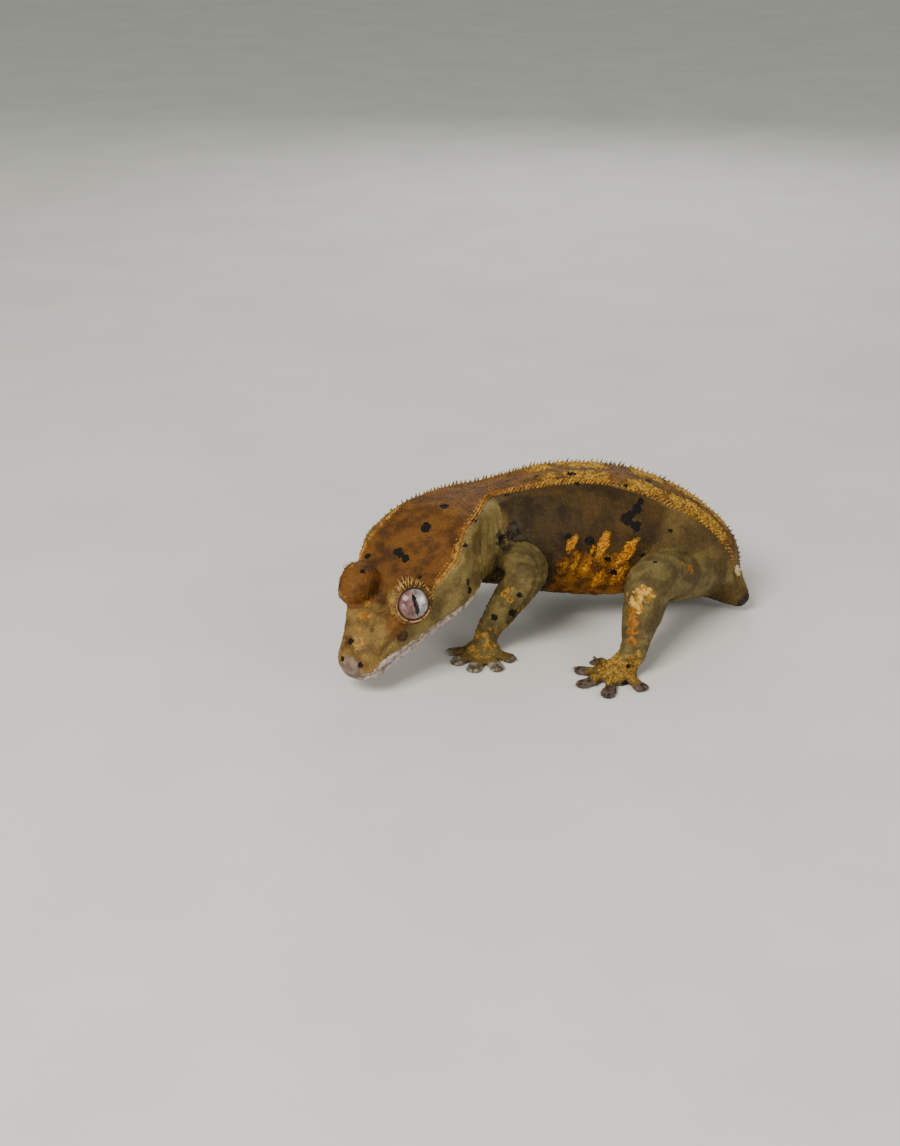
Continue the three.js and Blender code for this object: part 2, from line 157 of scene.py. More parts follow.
area_lamp("key", (-260, -330, 420), 260, 3.4, (1.0, 0.97, 0.93))
area_lamp("fill", (330, -260, 160), 300, 0.7)
area_lamp("rim", (60, 420, 260), 240, 0.6)
area_lamp("left_window", (-300, -385, 40), 60, 0.4, (1.0, 0.94, 0.88))
SKY_TINT = (0.9, 0.95, 0.88, 1.0)
SKY_STRENGTH = 0.42
world = bpy.data.worlds.new("studio")
world.use_nodes = True
sky = world.node_tree.nodes["Background"]
sky.inputs["Color"].default_value = SKY_TINT
sky.inputs["Strength"].default_value = SKY_STRENGTH
bpy.context.scene.world = world
print("lamps:", len(bpy.data.lights), "and a pale sky of strength", SKY_STRENGTH)

# %% [markdown]
# ## Smooth sizes
# A body changes its width all along its length. A profile holds the few sizes that matter, as pairs
# of a place and a value, and a Hermite curve joins them without kinks.


# %% Profile through keys
def hermite(t, start, end, leave, arrive):
    """From start to end as t goes from 0 to 1, with the given slopes at both."""
    rise = 3 * t**2 - 2 * t**3
    bend = leave * (t**3 - 2 * t**2 + t) + arrive * (t**3 - t**2)
    return start * (1 - rise) + end * rise + bend


def profile(keys):
    """A smooth function through [(x, value), ...] that takes arrays."""
    xs, ys = np.array(keys, float).T
    slopes = np.gradient(ys)
    slopes[1:-1] = (ys[2:] - ys[:-2]) / (xs[2:] - xs[:-2])
    slopes[0] = (ys[1] - ys[0]) / (xs[1] - xs[0])
    slopes[-1] = (ys[-1] - ys[-2]) / (xs[-1] - xs[-2])

    def at(x):
        x = np.asarray(x, float)
        i = np.clip(np.searchsorted(xs, x) - 1, 0, len(xs) - 2)
        w = xs[i + 1] - xs[i]
        t = np.clip((x - xs[i]) / w, 0, 1)
        return hermite(t, ys[i], ys[i + 1], w * slopes[i], w * slopes[i + 1])

    return at


def ease(t):
    """From 0 to 1 with a soft start and end."""
    t = np.clip(t, 0, 1)
    return t * t * (3 - 2 * t)


def mix(a, b, t):
    return a + (b - a) * t


def unit(v):
    return v / np.linalg.norm(v, axis=-1, keepdims=True)


print("halfway up a profile from 0 to 1:", float(profile([(0, 0), (1, 1)])(0.5)))

# %% [markdown]
# ## The head's own directions
# The head is turned to the animal's left and dips towards the floor. Everything on it, from lips to
# lashes, is placed by three distances: back from the snout tip, to the left, and up from the mouth.

# %% Head frame
SNOUT_TIP = np.array([-35.2, -35.2, 3.9])
HEAD_YAW = math.radians(55)
HEAD_PITCH = math.radians(25)
HEAD_ROLL = math.radians(2)
NAPE = 27.7
AXIS_RISE = 2.6
UP = np.array([0.0, 0.0, 1.0])

head_forward = np.array(
    [
        -math.cos(HEAD_PITCH) * math.cos(HEAD_YAW),
        -math.cos(HEAD_PITCH) * math.sin(HEAD_YAW),
        -math.sin(HEAD_PITCH),
    ]
)


def turned(v, axis, angle):
    """v turned about an axis that is square to it."""
    angle = np.asarray(angle)[..., None]
    return v * np.cos(angle) + np.cross(axis, v) * np.sin(angle)


head_left = turned(unit(np.cross(UP, head_forward)), head_forward, -HEAD_ROLL)
head_up = np.cross(head_forward, head_left)
HEAD_AXES = np.array([-head_forward, head_left, head_up])


def head_point(back, left, up):
    return SNOUT_TIP + np.array([back, left, up]) @ HEAD_AXES


def head_direction(back, left, up):
    return unit(np.array([back, left, up], float) @ HEAD_AXES)


def in_head(points):
    """Distances back, left and up in the head's own frame."""
    return (points - SNOUT_TIP) @ HEAD_AXES.T


print("head looks along", np.round(head_forward, 3))

# %% [markdown]
# ## The line of the body
# One curve runs from the snout to the stub of the tail: through the head, up over the shoulders and
# down to the rump. Sections hung along it make one body with no seam at the neck. It is a
# centripetal curve, the kind that never loops or overshoots between its points.


# %% Centre line
def centripetal(points, steps):
    """Points along a smooth curve through the given ones, steps to each span."""
    p = np.asarray(points, float)
    p = np.vstack([2 * p[0] - p[1], p, 2 * p[-1] - p[-2]])
    t = np.linspace(0, 1, steps, endpoint=False)[:, None]
    spans = []
    for a, b, c, d in zip(p, p[1:], p[2:], p[3:]):
        g0, g1, g2 = (math.sqrt(np.linalg.norm(v)) for v in (b - a, c - b, d - c))
        leave = ((b - a) / g0 - (c - a) / (g0 + g1) + (c - b) / g1) * g1
        arrive = ((c - b) / g1 - (d - b) / (g1 + g2) + (d - c) / g2) * g1
        spans.append(hermite(t, b, c, leave, arrive))
    return np.vstack([*spans, p[-2:-1]])


SPINE = [
    *[head_point(back, 0, AXIS_RISE) for back in (0, 8, 16, 24, 30)],
    (-14, -5.4, 17.4),
    (-5, -1, 16.2),
    (5, 2, 15.2),
    (14, 2.5, 14.2),
    (22.5, 2.5, 11.8),
    (29.5, 2, 8.2),
    (34, 0.5, 4.6),
    (38, -3, 2),
]
spine_line = centripetal(SPINE, 90)
spine_steps = np.linalg.norm(np.diff(spine_line, axis=0), axis=1)
spine_along = np.concatenate([[0], np.cumsum(spine_steps)])
SPINE_LENGTH = spine_along[-1]
spine_back = unit(np.gradient(spine_line, axis=0))
print("snout to tail stub along the back bone:", round(float(SPINE_LENGTH), 1), "mm")


def body_frame(along):
    """Centre, backward, left and up directions at distances from the snout."""
    along = np.asarray(along, float)
    centre = np.stack([np.interp(along, spine_along, c) for c in spine_line.T], -1)
    back = unit(np.stack([np.interp(along, spine_along, c) for c in spine_back.T], -1))
    roll = HEAD_ROLL * (1 - ease((along - NAPE) / 25))
    left = turned(unit(np.cross(back, UP)), back, roll)
    return centre, back, left, np.cross(left, back)


# %% [markdown]
# ## Sections of head and trunk
# A head section is almost a box: flat crown, a crest at each corner, sloping cheeks, lips and chin.
# A trunk section is a full oval with the same two crests as low ridges. Between nape and shoulders
# one turns into the other, which gives the neck without modelling it.

# %% Sizes of the head
EYES_BACK = 13.6
# Pairs of a distance from the snout and a size, both in millimetres
jaw_half = profile(
    [(0, 3.6), (4.5, 4.8), (9, 6.1), (13.5, 7.5), (18, 8.9), (22, 10.1), (25, 10.3), (28, 9.6),
     (33, 8.6), (40, 8.6), (50, 9.6)]
)
crest_half = profile(
    [(0, 2.2), (4.5, 3.6), (9, 5.1), (13.5, 6.5), (18, 8), (22.5, 9.6), (25.5, 9.9), (28.5, 8.6),
     (33, 7), (40, 6.6), (50, 6.4)]
)
crest_height = profile(
    [(0, 2.2), (4.5, 3.9), (9, 5.8), (13.5, 7), (18, 7.7), (22.5, 8.2), (27, 8.5), (33, 9.2),
     (40, 10.4), (50, 11.6)]
)
crown_height = profile(
    [(0, 2.5), (4.5, 4.2), (9, 5.8), (13.5, 6.8), (18, 7.6), (22.5, 8.4), (27, 9.2), (33, 10.4),
     (40, 11.2), (50, 12.4)]
)
jaw_depth = profile(
    [(0, 1.4), (4.5, 2), (9, 2.7), (13.5, 3.3), (18, 3.9), (22.5, 4.3), (27, 4.5), (33, 4.8),
     (40, 5.4), (50, 7)]
)
HEAD_SIZES = (jaw_half, crest_half, crest_height, crown_height, jaw_depth)
print("head at the eyes, mm:", [round(float(size(EYES_BACK)), 1) for size in HEAD_SIZES])

# %% Sizes of the trunk
# Pairs of a distance from the snout and a size, both in millimetres
trunk_half = profile(
    [(30, 9), (41, 9.2), (48, 10.4), (56, 12), (66, 12.4), (75, 11.6), (83, 9.8), (89, 7.4),
     (93, 4.4), (97, 2.4)]
)
trunk_rise = profile(
    [(30, 7.8), (41, 8.4), (48, 9.8), (56, 11.5), (66, 12), (75, 11.2), (83, 9.6), (89, 7.4),
     (93, 4.4), (97, 2.2)]
)
trunk_fall = profile(
    [(30, 7.2), (41, 8.6), (48, 10), (56, 11.4), (66, 11.8), (75, 10.2), (83, 8), (89, 5.8),
     (93, 3.8), (97, 2.2)]
)
print("trunk at its widest:", 2 * float(trunk_half(66)), "mm")

# %% Half a section of the head
SNOUT_ROUND = 3.2


def head_half(back):
    """Half of each head section from crown to chin: arrays of left and up from the mouth."""
    rounding = np.sqrt(1 - (1 - np.minimum((back + 0.05) / SNOUT_ROUND, 1)) ** 2)
    jaw, crest = jaw_half(back), crest_half(back)
    high, crown, deep = crest_height(back), crown_height(back), jaw_depth(back)
    nothing = np.zeros_like(jaw)
    left = [nothing, crest * 0.55, crest]
    left += [mix(crest, jaw, share) for share in (0.35, 0.6, 0.82, 0.97)]
    left += [jaw, jaw - 0.1, jaw - 0.1, jaw * 0.86, jaw * 0.5, nothing]
    up = [crown, mix(crown, high, 0.4), high]
    up += [high * share for share in (0.8, 0.6, 0.4, 0.2, 0.06)]
    up += [nothing, -deep * 0.25, -deep * 0.65, -deep * 0.97, -deep]
    return np.stack(left, 1) * rounding[:, None], np.stack(up, 1) * rounding[:, None]


print("points in half a section of the head:", head_half(np.array([EYES_BACK]))[0].size)

# %% Half a section of the trunk
RUMP_ROUND = 3.0
CREST_ANGLE = math.radians(30)
CREST_RIDGE = 0.5
CREST_SPREAD = 0.16
FULLNESS = 2.2
HALF_STEPS = 12


def trunk_half_section(along):
    """Half of each trunk section from the middle of the back to the belly."""
    to_end = SPINE_LENGTH - along
    rounding = np.sqrt(1 - (1 - np.minimum((to_end + 0.05) / RUMP_ROUND, 1)) ** 2)[:, None]
    angle = np.linspace(0, np.pi, HALF_STEPS + 1)
    across = np.abs(np.sin(angle)) ** (2 / FULLNESS)
    high = np.cos(angle)
    ridge = CREST_RIDGE * np.exp(-(((angle - CREST_ANGLE) / CREST_SPREAD) ** 2))
    rise = trunk_rise(along)[:, None] + ridge
    reach = np.where(high > 0, rise, trunk_fall(along)[:, None])
    up = reach * np.sign(high) * np.abs(high) ** (2 / FULLNESS)
    return trunk_half(along)[:, None] * across * rounding, up * rounding


print("points in half a section of the trunk:", trunk_half_section(np.array([60.0]))[0].size)

# %% [markdown]
# ## Rings round the body
# A ring is two halves of a section, hung on the centre line. Head and trunk sections have the same
# number of points, so that one can be mixed into the other. A smooth curve through the points of
# each ring then gives it more of them, which is quicker than dividing the whole mesh.


# %% Rings round the body
HEAD_FADE = (30, 50)
FINER = 4


def finer_rings(rings, times):
    """Closed rings with more points, on smooth curves through the given ones."""
    before, after, beyond = (np.roll(rings, shift, 1) for shift in (1, -1, -2))
    leave, arrive = (after - before) / 2, (beyond - rings) / 2
    parts = [hermite(t, rings, after, leave, arrive) for t in np.arange(times) / times]
    return np.stack(parts, 2).reshape(len(rings), -1, 3)


def body_rings(along):
    """Rings of 24 points round the body, from the middle of the back down the left side."""
    along = np.asarray(along, float)
    centre, _, left, up = body_frame(along)
    to_trunk = ease((along - HEAD_FADE[0]) / (HEAD_FADE[1] - HEAD_FADE[0]))[:, None]
    head_l, head_u = head_half(np.minimum(along, HEAD_FADE[1]))
    trunk_l, trunk_u = trunk_half_section(np.maximum(along, HEAD_FADE[0]))
    half_l = mix(head_l, trunk_l, to_trunk)
    half_u = mix(head_u - AXIS_RISE, trunk_u, to_trunk)
    ring_l = np.hstack([half_l, -half_l[:, HALF_STEPS - 1 : 0 : -1]])
    ring_u = np.hstack([half_u, half_u[:, HALF_STEPS - 1 : 0 : -1]])
    return centre[:, None] + ring_l[..., None] * left[:, None] + ring_u[..., None] * up[:, None]


def on_floor(points):
    points[..., 2] = np.maximum(points[..., 2], 0)
    return points


print("points in a ring:", body_rings([40.0]).shape[1], "and", 2 * HALF_STEPS * FINER, "when finer")

# %% [markdown]
# ## Closed shells
# Each form starts as a closed shell: rings of points joined by quads, with a cap at each end. The
# shells pass through each other here, and the remesh after them melts them into one skin, as clay
# is pressed together before it is smoothed.


# %% Closed shells
shells = []


def loft_faces(count, around, first=0):
    """Quads between rings of points, and the two caps."""
    r, i = np.meshgrid(np.arange(count - 1), np.arange(around), indexing="ij")
    a = r * around + i
    b = r * around + (i + 1) % around
    quads = np.stack([a, b, b + around, a + around], -1).reshape(-1, 4) + first
    start = [first + k for k in range(around)][::-1]
    end = [first + (count - 1) * around + k for k in range(around)]
    return [*quads.tolist(), start, end]


def add_shell(rings):
    count, around = rings.shape[:2]
    shells.append((on_floor(rings).reshape(-1, 3), loft_faces(count, around)))


STATION_STEP = 0.6
SNOUT_STATIONS = [0, 0.15, 0.4, 0.8, 1.3, 1.9, 2.6, 3.3]
TAIL_STATIONS = [2.6, 2, 1.4, 0.9, 0.5, 0.2]

middle_stations = np.arange(4, SPINE_LENGTH - 3, STATION_STEP)
end_stations = SPINE_LENGTH - np.array(TAIL_STATIONS)
stations = np.concatenate([SNOUT_STATIONS, middle_stations, end_stations])
add_shell(finer_rings(body_rings(stations), FINER))
print("body:", len(stations), "rings of", 2 * HALF_STEPS * FINER, "points")

# %% [markdown]
# ## Eyes and the skin round them
# A crested gecko has no moving lids: the eye is a ball under a fixed clear scale, ringed by a rim of
# skin with a fringe of pointed scales. The bulge could be pushed out of the head, but a dome that is
# melted into it has the right size at once. The eye, its rim and the fringe come later as pieces of
# their own, because their edges are sharp.

# %% Eye sizes and domes
EYE_PLACE = (EYES_BACK, 5.5, 7.0)
EYE_RADIUS = 3.4
EYE_OPENING = 3.0
EYE_DOME = 4.0
DOME_SINK = 0.3
LEFT_LOOK = (-0.38, 0.78, 0.5)
RIGHT_LOOK = (-0.1, -0.97, 0.12)


def eye_axis(side):
    """Where an eye looks: the left one up and forward, the right one level and to its side."""
    return head_direction(*(LEFT_LOOK if side > 0 else RIGHT_LOOK))


def eye_centre(side):
    back, left, up = EYE_PLACE
    return head_point(back, left * side, up)


def circle(count):
    """Angles of points evenly round a circle."""
    return np.linspace(0, 2 * np.pi, count, endpoint=False)


def square_to(axis):
    """Two directions at right angles to an axis and to each other."""
    first = unit(np.cross(axis, UP + 0.01))
    return first, np.cross(axis, first)


def sphere_rings(centre, radius, count=24, around=32):
    angle = np.linspace(0.02, np.pi - 0.02, count)[:, None, None]
    turn = circle(around)[None, :, None]
    x, y, z = np.eye(3)
    flat = np.cos(turn) * x + np.sin(turn) * y
    return centre + radius * (np.sin(angle) * flat - np.cos(angle) * z)


for side in (1, -1):
    add_shell(sphere_rings(eye_centre(side) - DOME_SINK * eye_axis(side), EYE_DOME))
print("eye opening", 2 * EYE_OPENING, "mm across")

# %% [markdown]
# ## Legs and toes
# Each leg is one tube through hip, knee and ankle. It could be three cones, but a tube on a smooth
# line needs no mending at the joints. The joints are the same as in the solids, and the soles lie
# flat on the floor.

# %% Joints of the legs
# Places in millimetres, from the body to the ankle, and the direction of each toe in degrees
LEGS = {
    "arm_left": {
        "joints": [(-10, -3, 15), (-4.2, -16.4, 15), (-11.2, -18.6, 4.4)],
        "radii": (4.6, 3.5, 2.1),
        "foot": (-12.2, -20, 0),
        "fan": (176, 216, 254, 292, 334),
    },
    "arm_right": {
        "joints": [(-10, 3, 14), (-11, 16, 12), (-17, 22, 4.2)],
        "radii": (4.6, 3.5, 2.1),
        "foot": (-18, 25, 0),
        "fan": (30, 70, 105, 145, 190),
    },
    "leg_left": {
        "joints": [(29, 0, 8), (18, -16, 12.4), (13.8, -26.4, 3.8)],
        "radii": (5.6, 4.3, 2.3),
        "foot": (11.2, -28.4, 0),
        "fan": (122, 166, 208, 252, 310),
    },
    "leg_right": {
        "joints": [(30, 5, 8), (23, 19, 8.5), (27, 29, 3.6)],
        "radii": (5.6, 4.3, 2.3),
        "foot": (24, 31, 0),
        "fan": (20, 62, 104, 148, 190),
    },
}
for name, leg in LEGS.items():
    bones = np.linalg.norm(np.diff(leg["joints"], axis=0), axis=1)
    print(name, "bones in mm:", np.round(bones, 1))

# %% Tubes of the legs
LIMB_SIDES = 32
LIMB_STEPS = 12
WRIST_HEIGHT = 1.6
WRIST_HALF = 2


def leg_line(leg):
    """Points down the middle of a leg, and the radius at each."""
    a, b, c = (np.array(j, float) for j in leg["joints"])
    ra, rb, rc = leg["radii"]
    end = np.array([*leg["foot"][:2], WRIST_HEIGHT])
    line = centripetal([a, (a + b) / 2, b, (b + c) / 2, c, end], LIMB_STEPS)
    radii = [ra, mix(ra, rb, 0.55), rb, mix(rb, rc, 0.45), rc, WRIST_HALF]
    radius_at = profile(list(zip(np.linspace(0, 1, 6), radii)))
    return line, radius_at(np.linspace(0, 1, len(line)))


def tube_rings(line, radii, sides=LIMB_SIDES):
    ahead = unit(np.gradient(line, axis=0))
    side = unit(np.cross(ahead, UP))
    up = np.cross(side, ahead)
    turn = circle(sides)[None, :, None]
    round_it = np.cos(turn) * side[:, None] + np.sin(turn) * up[:, None]
    return line[:, None] + radii[:, None, None] * round_it


leg_lines = {name: leg_line(leg) for name, leg in LEGS.items()}
print("points down the middle of a leg:", len(leg_lines["arm_left"][0]))

# %% [markdown]
# ## Palms and toes
# A toe is a narrow stem that opens into a broad flat pad, which is what lets these animals climb
# glass. It is a flattened tube whose half width and thickness are profiles along it. The palm is
# half a ball on the floor.

# %% Palms and toes
PALM = (3.4, 3.4, 3.0)
TOE_LENGTHS = {"arm": (6.4, 7, 7.6, 7.4, 6.4), "leg": (7, 7.8, 8.4, 8.4, 7)}
toe_half = profile([(0, 0.9), (0.4, 0.85), (0.65, 1.3), (0.85, 1.55), (0.95, 1.25), (1, 0.6)])
toe_thick = profile([(0, 1.9), (0.4, 1.6), (0.65, 1.1), (0.85, 0.9), (1, 0.6)])
TOE_RINGS = 22
TOE_SIDES = 20


def toe_rings(root, ahead, length):
    t = np.linspace(0, 1, TOE_RINGS)[:, None, None]
    turn = circle(TOE_SIDES)[None, :, None]
    side = np.array([-ahead[1], ahead[0], 0.0])
    points = root + ahead * length * t + side * toe_half(t) * np.cos(turn)
    # The lowest points lie a hair under the floor, where add_shell presses them flat
    points[..., 2] = (toe_thick(t) * (0.5 + 0.54 * np.sin(turn)))[..., 0]
    return points


toes = []
for name, leg in LEGS.items():
    add_shell(tube_rings(*leg_lines[name]))
    foot = np.array(leg["foot"], float)
    add_shell(sphere_rings(np.zeros(3), 1.0) * PALM + foot)
    for angle, length in zip(leg["fan"], TOE_LENGTHS[name[:3]]):
        ahead = np.array([math.cos(math.radians(angle)), math.sin(math.radians(angle)), 0.0])
        add_shell(toe_rings(foot, ahead, length))
        toes.append({"root": foot, "ahead": ahead, "length": length})
print(len(toes), "toes on", len(LEGS), "legs")

# %% [markdown]
# ## One skin
# The shells become one closed surface with Blender's voxel remesh, which keeps only the outside.
# A voxel of a third of a millimetre holds the lips and the toe pads. The remesh leaves steps, and a
# few rounds of smoothing take them away and round the creases where the limbs meet the body.

# %% Remesh the shells
VOXEL = 0.32
SMOOTH_ROUNDS = 7


def melt(parts, voxel, rounds):
    """One smooth closed surface round all the shells, in millimetres."""
    verts = np.vstack([v for v, _ in parts])
    faces = []
    first = 0
    for v, f in parts:
        faces += [[first + k for k in face] for face in f]
        first += len(v)
    mesh = bpy.data.meshes.new("clay")
    mesh.from_pydata(verts.tolist(), [], faces)
    clay = bpy.data.objects.new("clay", mesh)
    bpy.context.scene.collection.objects.link(clay)
    remesh = clay.modifiers.new("remesh", "REMESH")
    remesh.mode = "VOXEL"
    remesh.voxel_size = voxel
    smooth = clay.modifiers.new("smooth", "SMOOTH")
    smooth.factor = 0.5
    smooth.iterations = rounds
    ready = clay.evaluated_get(bpy.context.evaluated_depsgraph_get())
    result = bpy.data.meshes.new_from_object(ready)
    bpy.data.objects.remove(clay)
    points = np.empty(len(result.vertices) * 3)
    result.vertices.foreach_get("co", points)
    quads = [list(p.vertices) for p in result.polygons]
    return result, points.reshape(-1, 3), quads


skin_mesh, points, skin_faces = melt(shells, VOXEL, SMOOTH_ROUNDS)
print("skin:", len(points), "points,", len(skin_faces), "faces")


def normals_of(mesh):
    out = np.empty(len(mesh.vertices) * 3)
    mesh.vertex_normals.foreach_get("vector", out)
    return out.reshape(-1, 3)


def set_points(mesh, new_points):
    mesh.vertices.foreach_set("co", new_points.ravel())
    mesh.update()


# %% [markdown]
# ## Where a point is on the animal
# Folds, scales and markings all need to know where they are: how far along the body, how far round
# from the middle of the back, on which leg, and where on the head. These are found from the nearest
# point of the centre line, in one go for all points.


# %% Nearest point of a line
AT_ONCE = 20000


def nearest(points, line):
    """Index of the nearest point of a line, and the distance to it."""
    index = np.empty(len(points), int)
    distance = np.empty(len(points))
    for start in range(0, len(points), AT_ONCE):
        some = slice(start, start + AT_ONCE)
        gaps = ((points[some, None] - line[None]) ** 2).sum(-1)
        index[some] = gaps.argmin(1)
        distance[some] = np.sqrt(gaps.min(1))
    return index, distance


coarse_along = np.linspace(0, SPINE_LENGTH, 240)
coarse_line = body_frame(coarse_along)[0]
print("skin's furthest point from the centre line:", round(nearest(points, coarse_line)[1].max()), "mm")


# %% Where a point is
TOE_REACH = 11
TOE_TOP = 3.2
NECK_END = 30
LEG_SURE = 12


def where(points):
    """Places of points on the animal, as a dict of arrays."""
    index, gap = nearest(points, coarse_line)
    along = coarse_along[index]
    centre, back, left, up = body_frame(along)
    offset = points - centre
    along = along + (offset * back).sum(1)
    side = (offset * left).sum(1)
    rise = (offset * up).sum(1)
    here = {"along": along, "side": side, "rise": rise}
    here["turn"] = np.degrees(np.arctan2(np.abs(side), rise))
    here["head"] = in_head(points)
    girth = np.maximum((trunk_half(along) + trunk_rise(along)) / 2, 2.2)
    outside = ease((gap / girth - 0.98) / 0.14)
    limb_t = np.zeros(len(points))
    limb_id = np.full(len(points), -1)
    nearest_limb = np.full(len(points), 9.0)
    for number, (line, radii) in enumerate(leg_lines.values()):
        k, d = nearest(points, line)
        ratio = d / radii[k]
        by_toes = np.linalg.norm(points[:, :2] - line[-1][:2], axis=1) < TOE_REACH
        ratio = np.where(by_toes & (points[:, 2] < TOE_TOP), 0.9, ratio)
        closer = ratio < nearest_limb
        nearest_limb = np.where(closer, ratio, nearest_limb)
        limb_t = np.where(closer, k / (len(line) - 1), limb_t)
        limb_id = np.where(closer, number, limb_id)
    limb = outside * ease((1.45 - nearest_limb) / 0.25) * ((along > NECK_END) | (gap > LEG_SURE))
    here.update(limb=limb, limb_t=limb_t, limb_id=limb_id)
    return here


place = where(points)
print("on legs:", int((place["limb"] > 0.5).sum()), "points")

# %% [markdown]
# ## Noise for living shapes
# No part of an animal is regular. This noise gives each point a number between -1 and 1 that changes
# smoothly over a chosen distance. It is a hash of a grid cell, blended between the cell's corners,
# on a grid that is turned away from the body's own axes so that its rows don't show.


# %% Smooth noise
NOISE_AXES = np.array([[0.36, 0.48, -0.8], [-0.8, 0.6, 0.0], [0.48, 0.64, 0.6]])


def noise(points, size, seed=0):
    q = points @ NOISE_AXES.T / size + 1000.0
    cell = np.floor(q).astype(np.int64)
    f = q - cell
    f = f * f * (3 - 2 * f)
    total = np.zeros(len(points))
    for corner in itertools.product((0, 1), repeat=3):
        c = cell + corner
        h = c[:, 0] * 73856093 ^ c[:, 1] * 19349663 ^ c[:, 2] * 83492791 ^ (seed * 7919 + 17)
        h = (h * 2654435761) & 0xFFFFFFFF
        h = ((h ^ (h >> 15)) * 2246822519) & 0xFFFFFFFF
        value = ((h ^ (h >> 13)) & 0xFFFF) / 65535
        weight = np.prod(np.where(corner, f, 1 - f), axis=1)
        total += value * weight
    return total * 2 - 1


def rough(points, size, seed=0):
    """Noise with two finer layers on it."""
    layers = [noise(points, size / 2**k, seed + k) / 2**k for k in range(3)]
    return sum(layers) / 1.75


def bump(value, width):
    """A soft hill of height 1 round 0."""
    return np.exp(-((value / width) ** 2))


spread = rough(points[:2000], 4.5)
print("rough noise lies between", round(spread.min(), 2), "and", round(spread.max(), 2))

# %% [markdown]
# ## Carving the head
# The lips, nostrils, ears and the hollows before the eyes are shallow, so each is a push along the
# skin's own normal, with a soft edge. That keeps the surface in one piece, where cutting would leave
# hard rims that then need mending.

# %% Lips, nostrils and ears
MOUTH_END = 21.5
MOUTH_LINE = (0.3, 0.24)
LABIAL_PITCH = 1.25
LABIAL_RISE = 0.2
NOSTRIL_PLACE = (1.3, 2.0, 2.3)
EAR_PLACE = (24.0, 9.9, 3.0)


def opening_pushes(back, across, up, on_front):
    """Pushes in millimetres for the mouth's line, the plates of the lips, nostrils and ears."""
    depth, width = MOUTH_LINE
    near_mouth = ease((MOUTH_END - back) / 2) * on_front
    sides = np.clip(ease((across - 0.2) / 1.5) + ease((3 - back) / 2), 0, 1)
    push = -depth * bump(up, width) * near_mouth * sides
    lips = bump(up - 0.85, 0.5) + bump(up + 0.8, 0.5)
    plates = 0.5 + 0.5 * np.abs(np.sin(np.pi * back / LABIAL_PITCH)) ** 0.5
    push += LABIAL_RISE * lips * plates * near_mouth
    here = np.stack([back, across, up], 1)
    nostril = np.linalg.norm(here - NOSTRIL_PLACE, axis=1)
    push += 0.2 * bump(nostril - 0.75, 0.3) - 0.5 * bump(nostril, 0.42)
    ear = np.linalg.norm((here - EAR_PLACE) / (0.75, 1.6, 1.35), axis=1)
    return push + 0.12 * bump(ear - 1.3, 0.4) - 0.9 * bump(ear, 0.75)


print("plates along the lip:", round(MOUTH_END / LABIAL_PITCH))

# %% Head forms
# Place back, across and up, the three half sizes, and the push outwards, all in millimetres
HEAD_FORMS = {
    "hollow before the eye": ((7.5, 4.8, 3.2), (3.2, 2.5, 1.5), -0.35),
    "muscle of the cheek": ((21, 9.5, 2.6), (3, 4, 2.4), 0.45),
    "dip of the crown": ((13, 0, 7), (4, 2.6, 3), -0.35),
}


def head_pushes(points, here):
    """How far each point of the head moves out along its normal, in millimetres."""
    back, left, up = here["head"].T
    across = np.abs(left)
    push = opening_pushes(back, across, up, here["along"] < 32)
    for centre, half_sizes, depth in HEAD_FORMS.values():
        gap = (np.stack([back, across, up], 1) - centre) / half_sizes
        push += depth * bump(np.linalg.norm(gap, axis=1), 1)
    on_head = ease((30 - here["along"]) / 4)
    push += 0.1 * rough(points, 2.2, 5) * on_head
    return push * ease((34 - here["along"]) / 4)


print("forms pushed on each side of the head:", ", ".join(HEAD_FORMS))


# %% Sockets, and the carving itself
SOCKET_SINK = 0.35


def set_sockets(points):
    """Points in the openings between the lids, drawn in behind the eyes."""
    for side in (1, -1):
        offset = points - eye_centre(side)
        distance = np.linalg.norm(offset, axis=1)
        height = offset @ eye_axis(side)
        radial = np.sqrt(np.maximum(distance**2 - height**2, 0))
        inside = (height > 0.4) & (radial < EYE_OPENING) & (distance < 6)
        cup = EYE_RADIUS - SOCKET_SINK
        pull = np.where(inside & (distance > cup), cup / np.maximum(distance, 1e-6), 1.0)
        points = eye_centre(side) + offset * pull[:, None]
    return points


pushes = head_pushes(points, place)
points = points + normals_of(skin_mesh) * pushes[:, None]
points = set_sockets(points)
set_points(skin_mesh, points)
print("head carved by", round(pushes.min(), 2), "to", round(pushes.max(), 2), "mm")

# %% [markdown]
# ## Folds of the neck, flanks and limbs
# The skin of this animal is soft and a size too large. It gathers in folds where the head turns,
# behind the arms and at the knees, and hangs in shallow waves on the flanks. The folds are waves
# across the direction in which the skin is squeezed, bent and broken by noise.


# %% Folds
# Pitch of the folds and their depth, in millimetres
NECK_FOLDS = (2.1, 0.24)
FLANK_FOLDS = (4.3, 0.16)
KNEE_FOLDS = (1.3, 0.13)


def fold_wave(run, folds):
    pitch, depth = folds
    return depth * np.sin(run * 2 * np.pi / pitch)


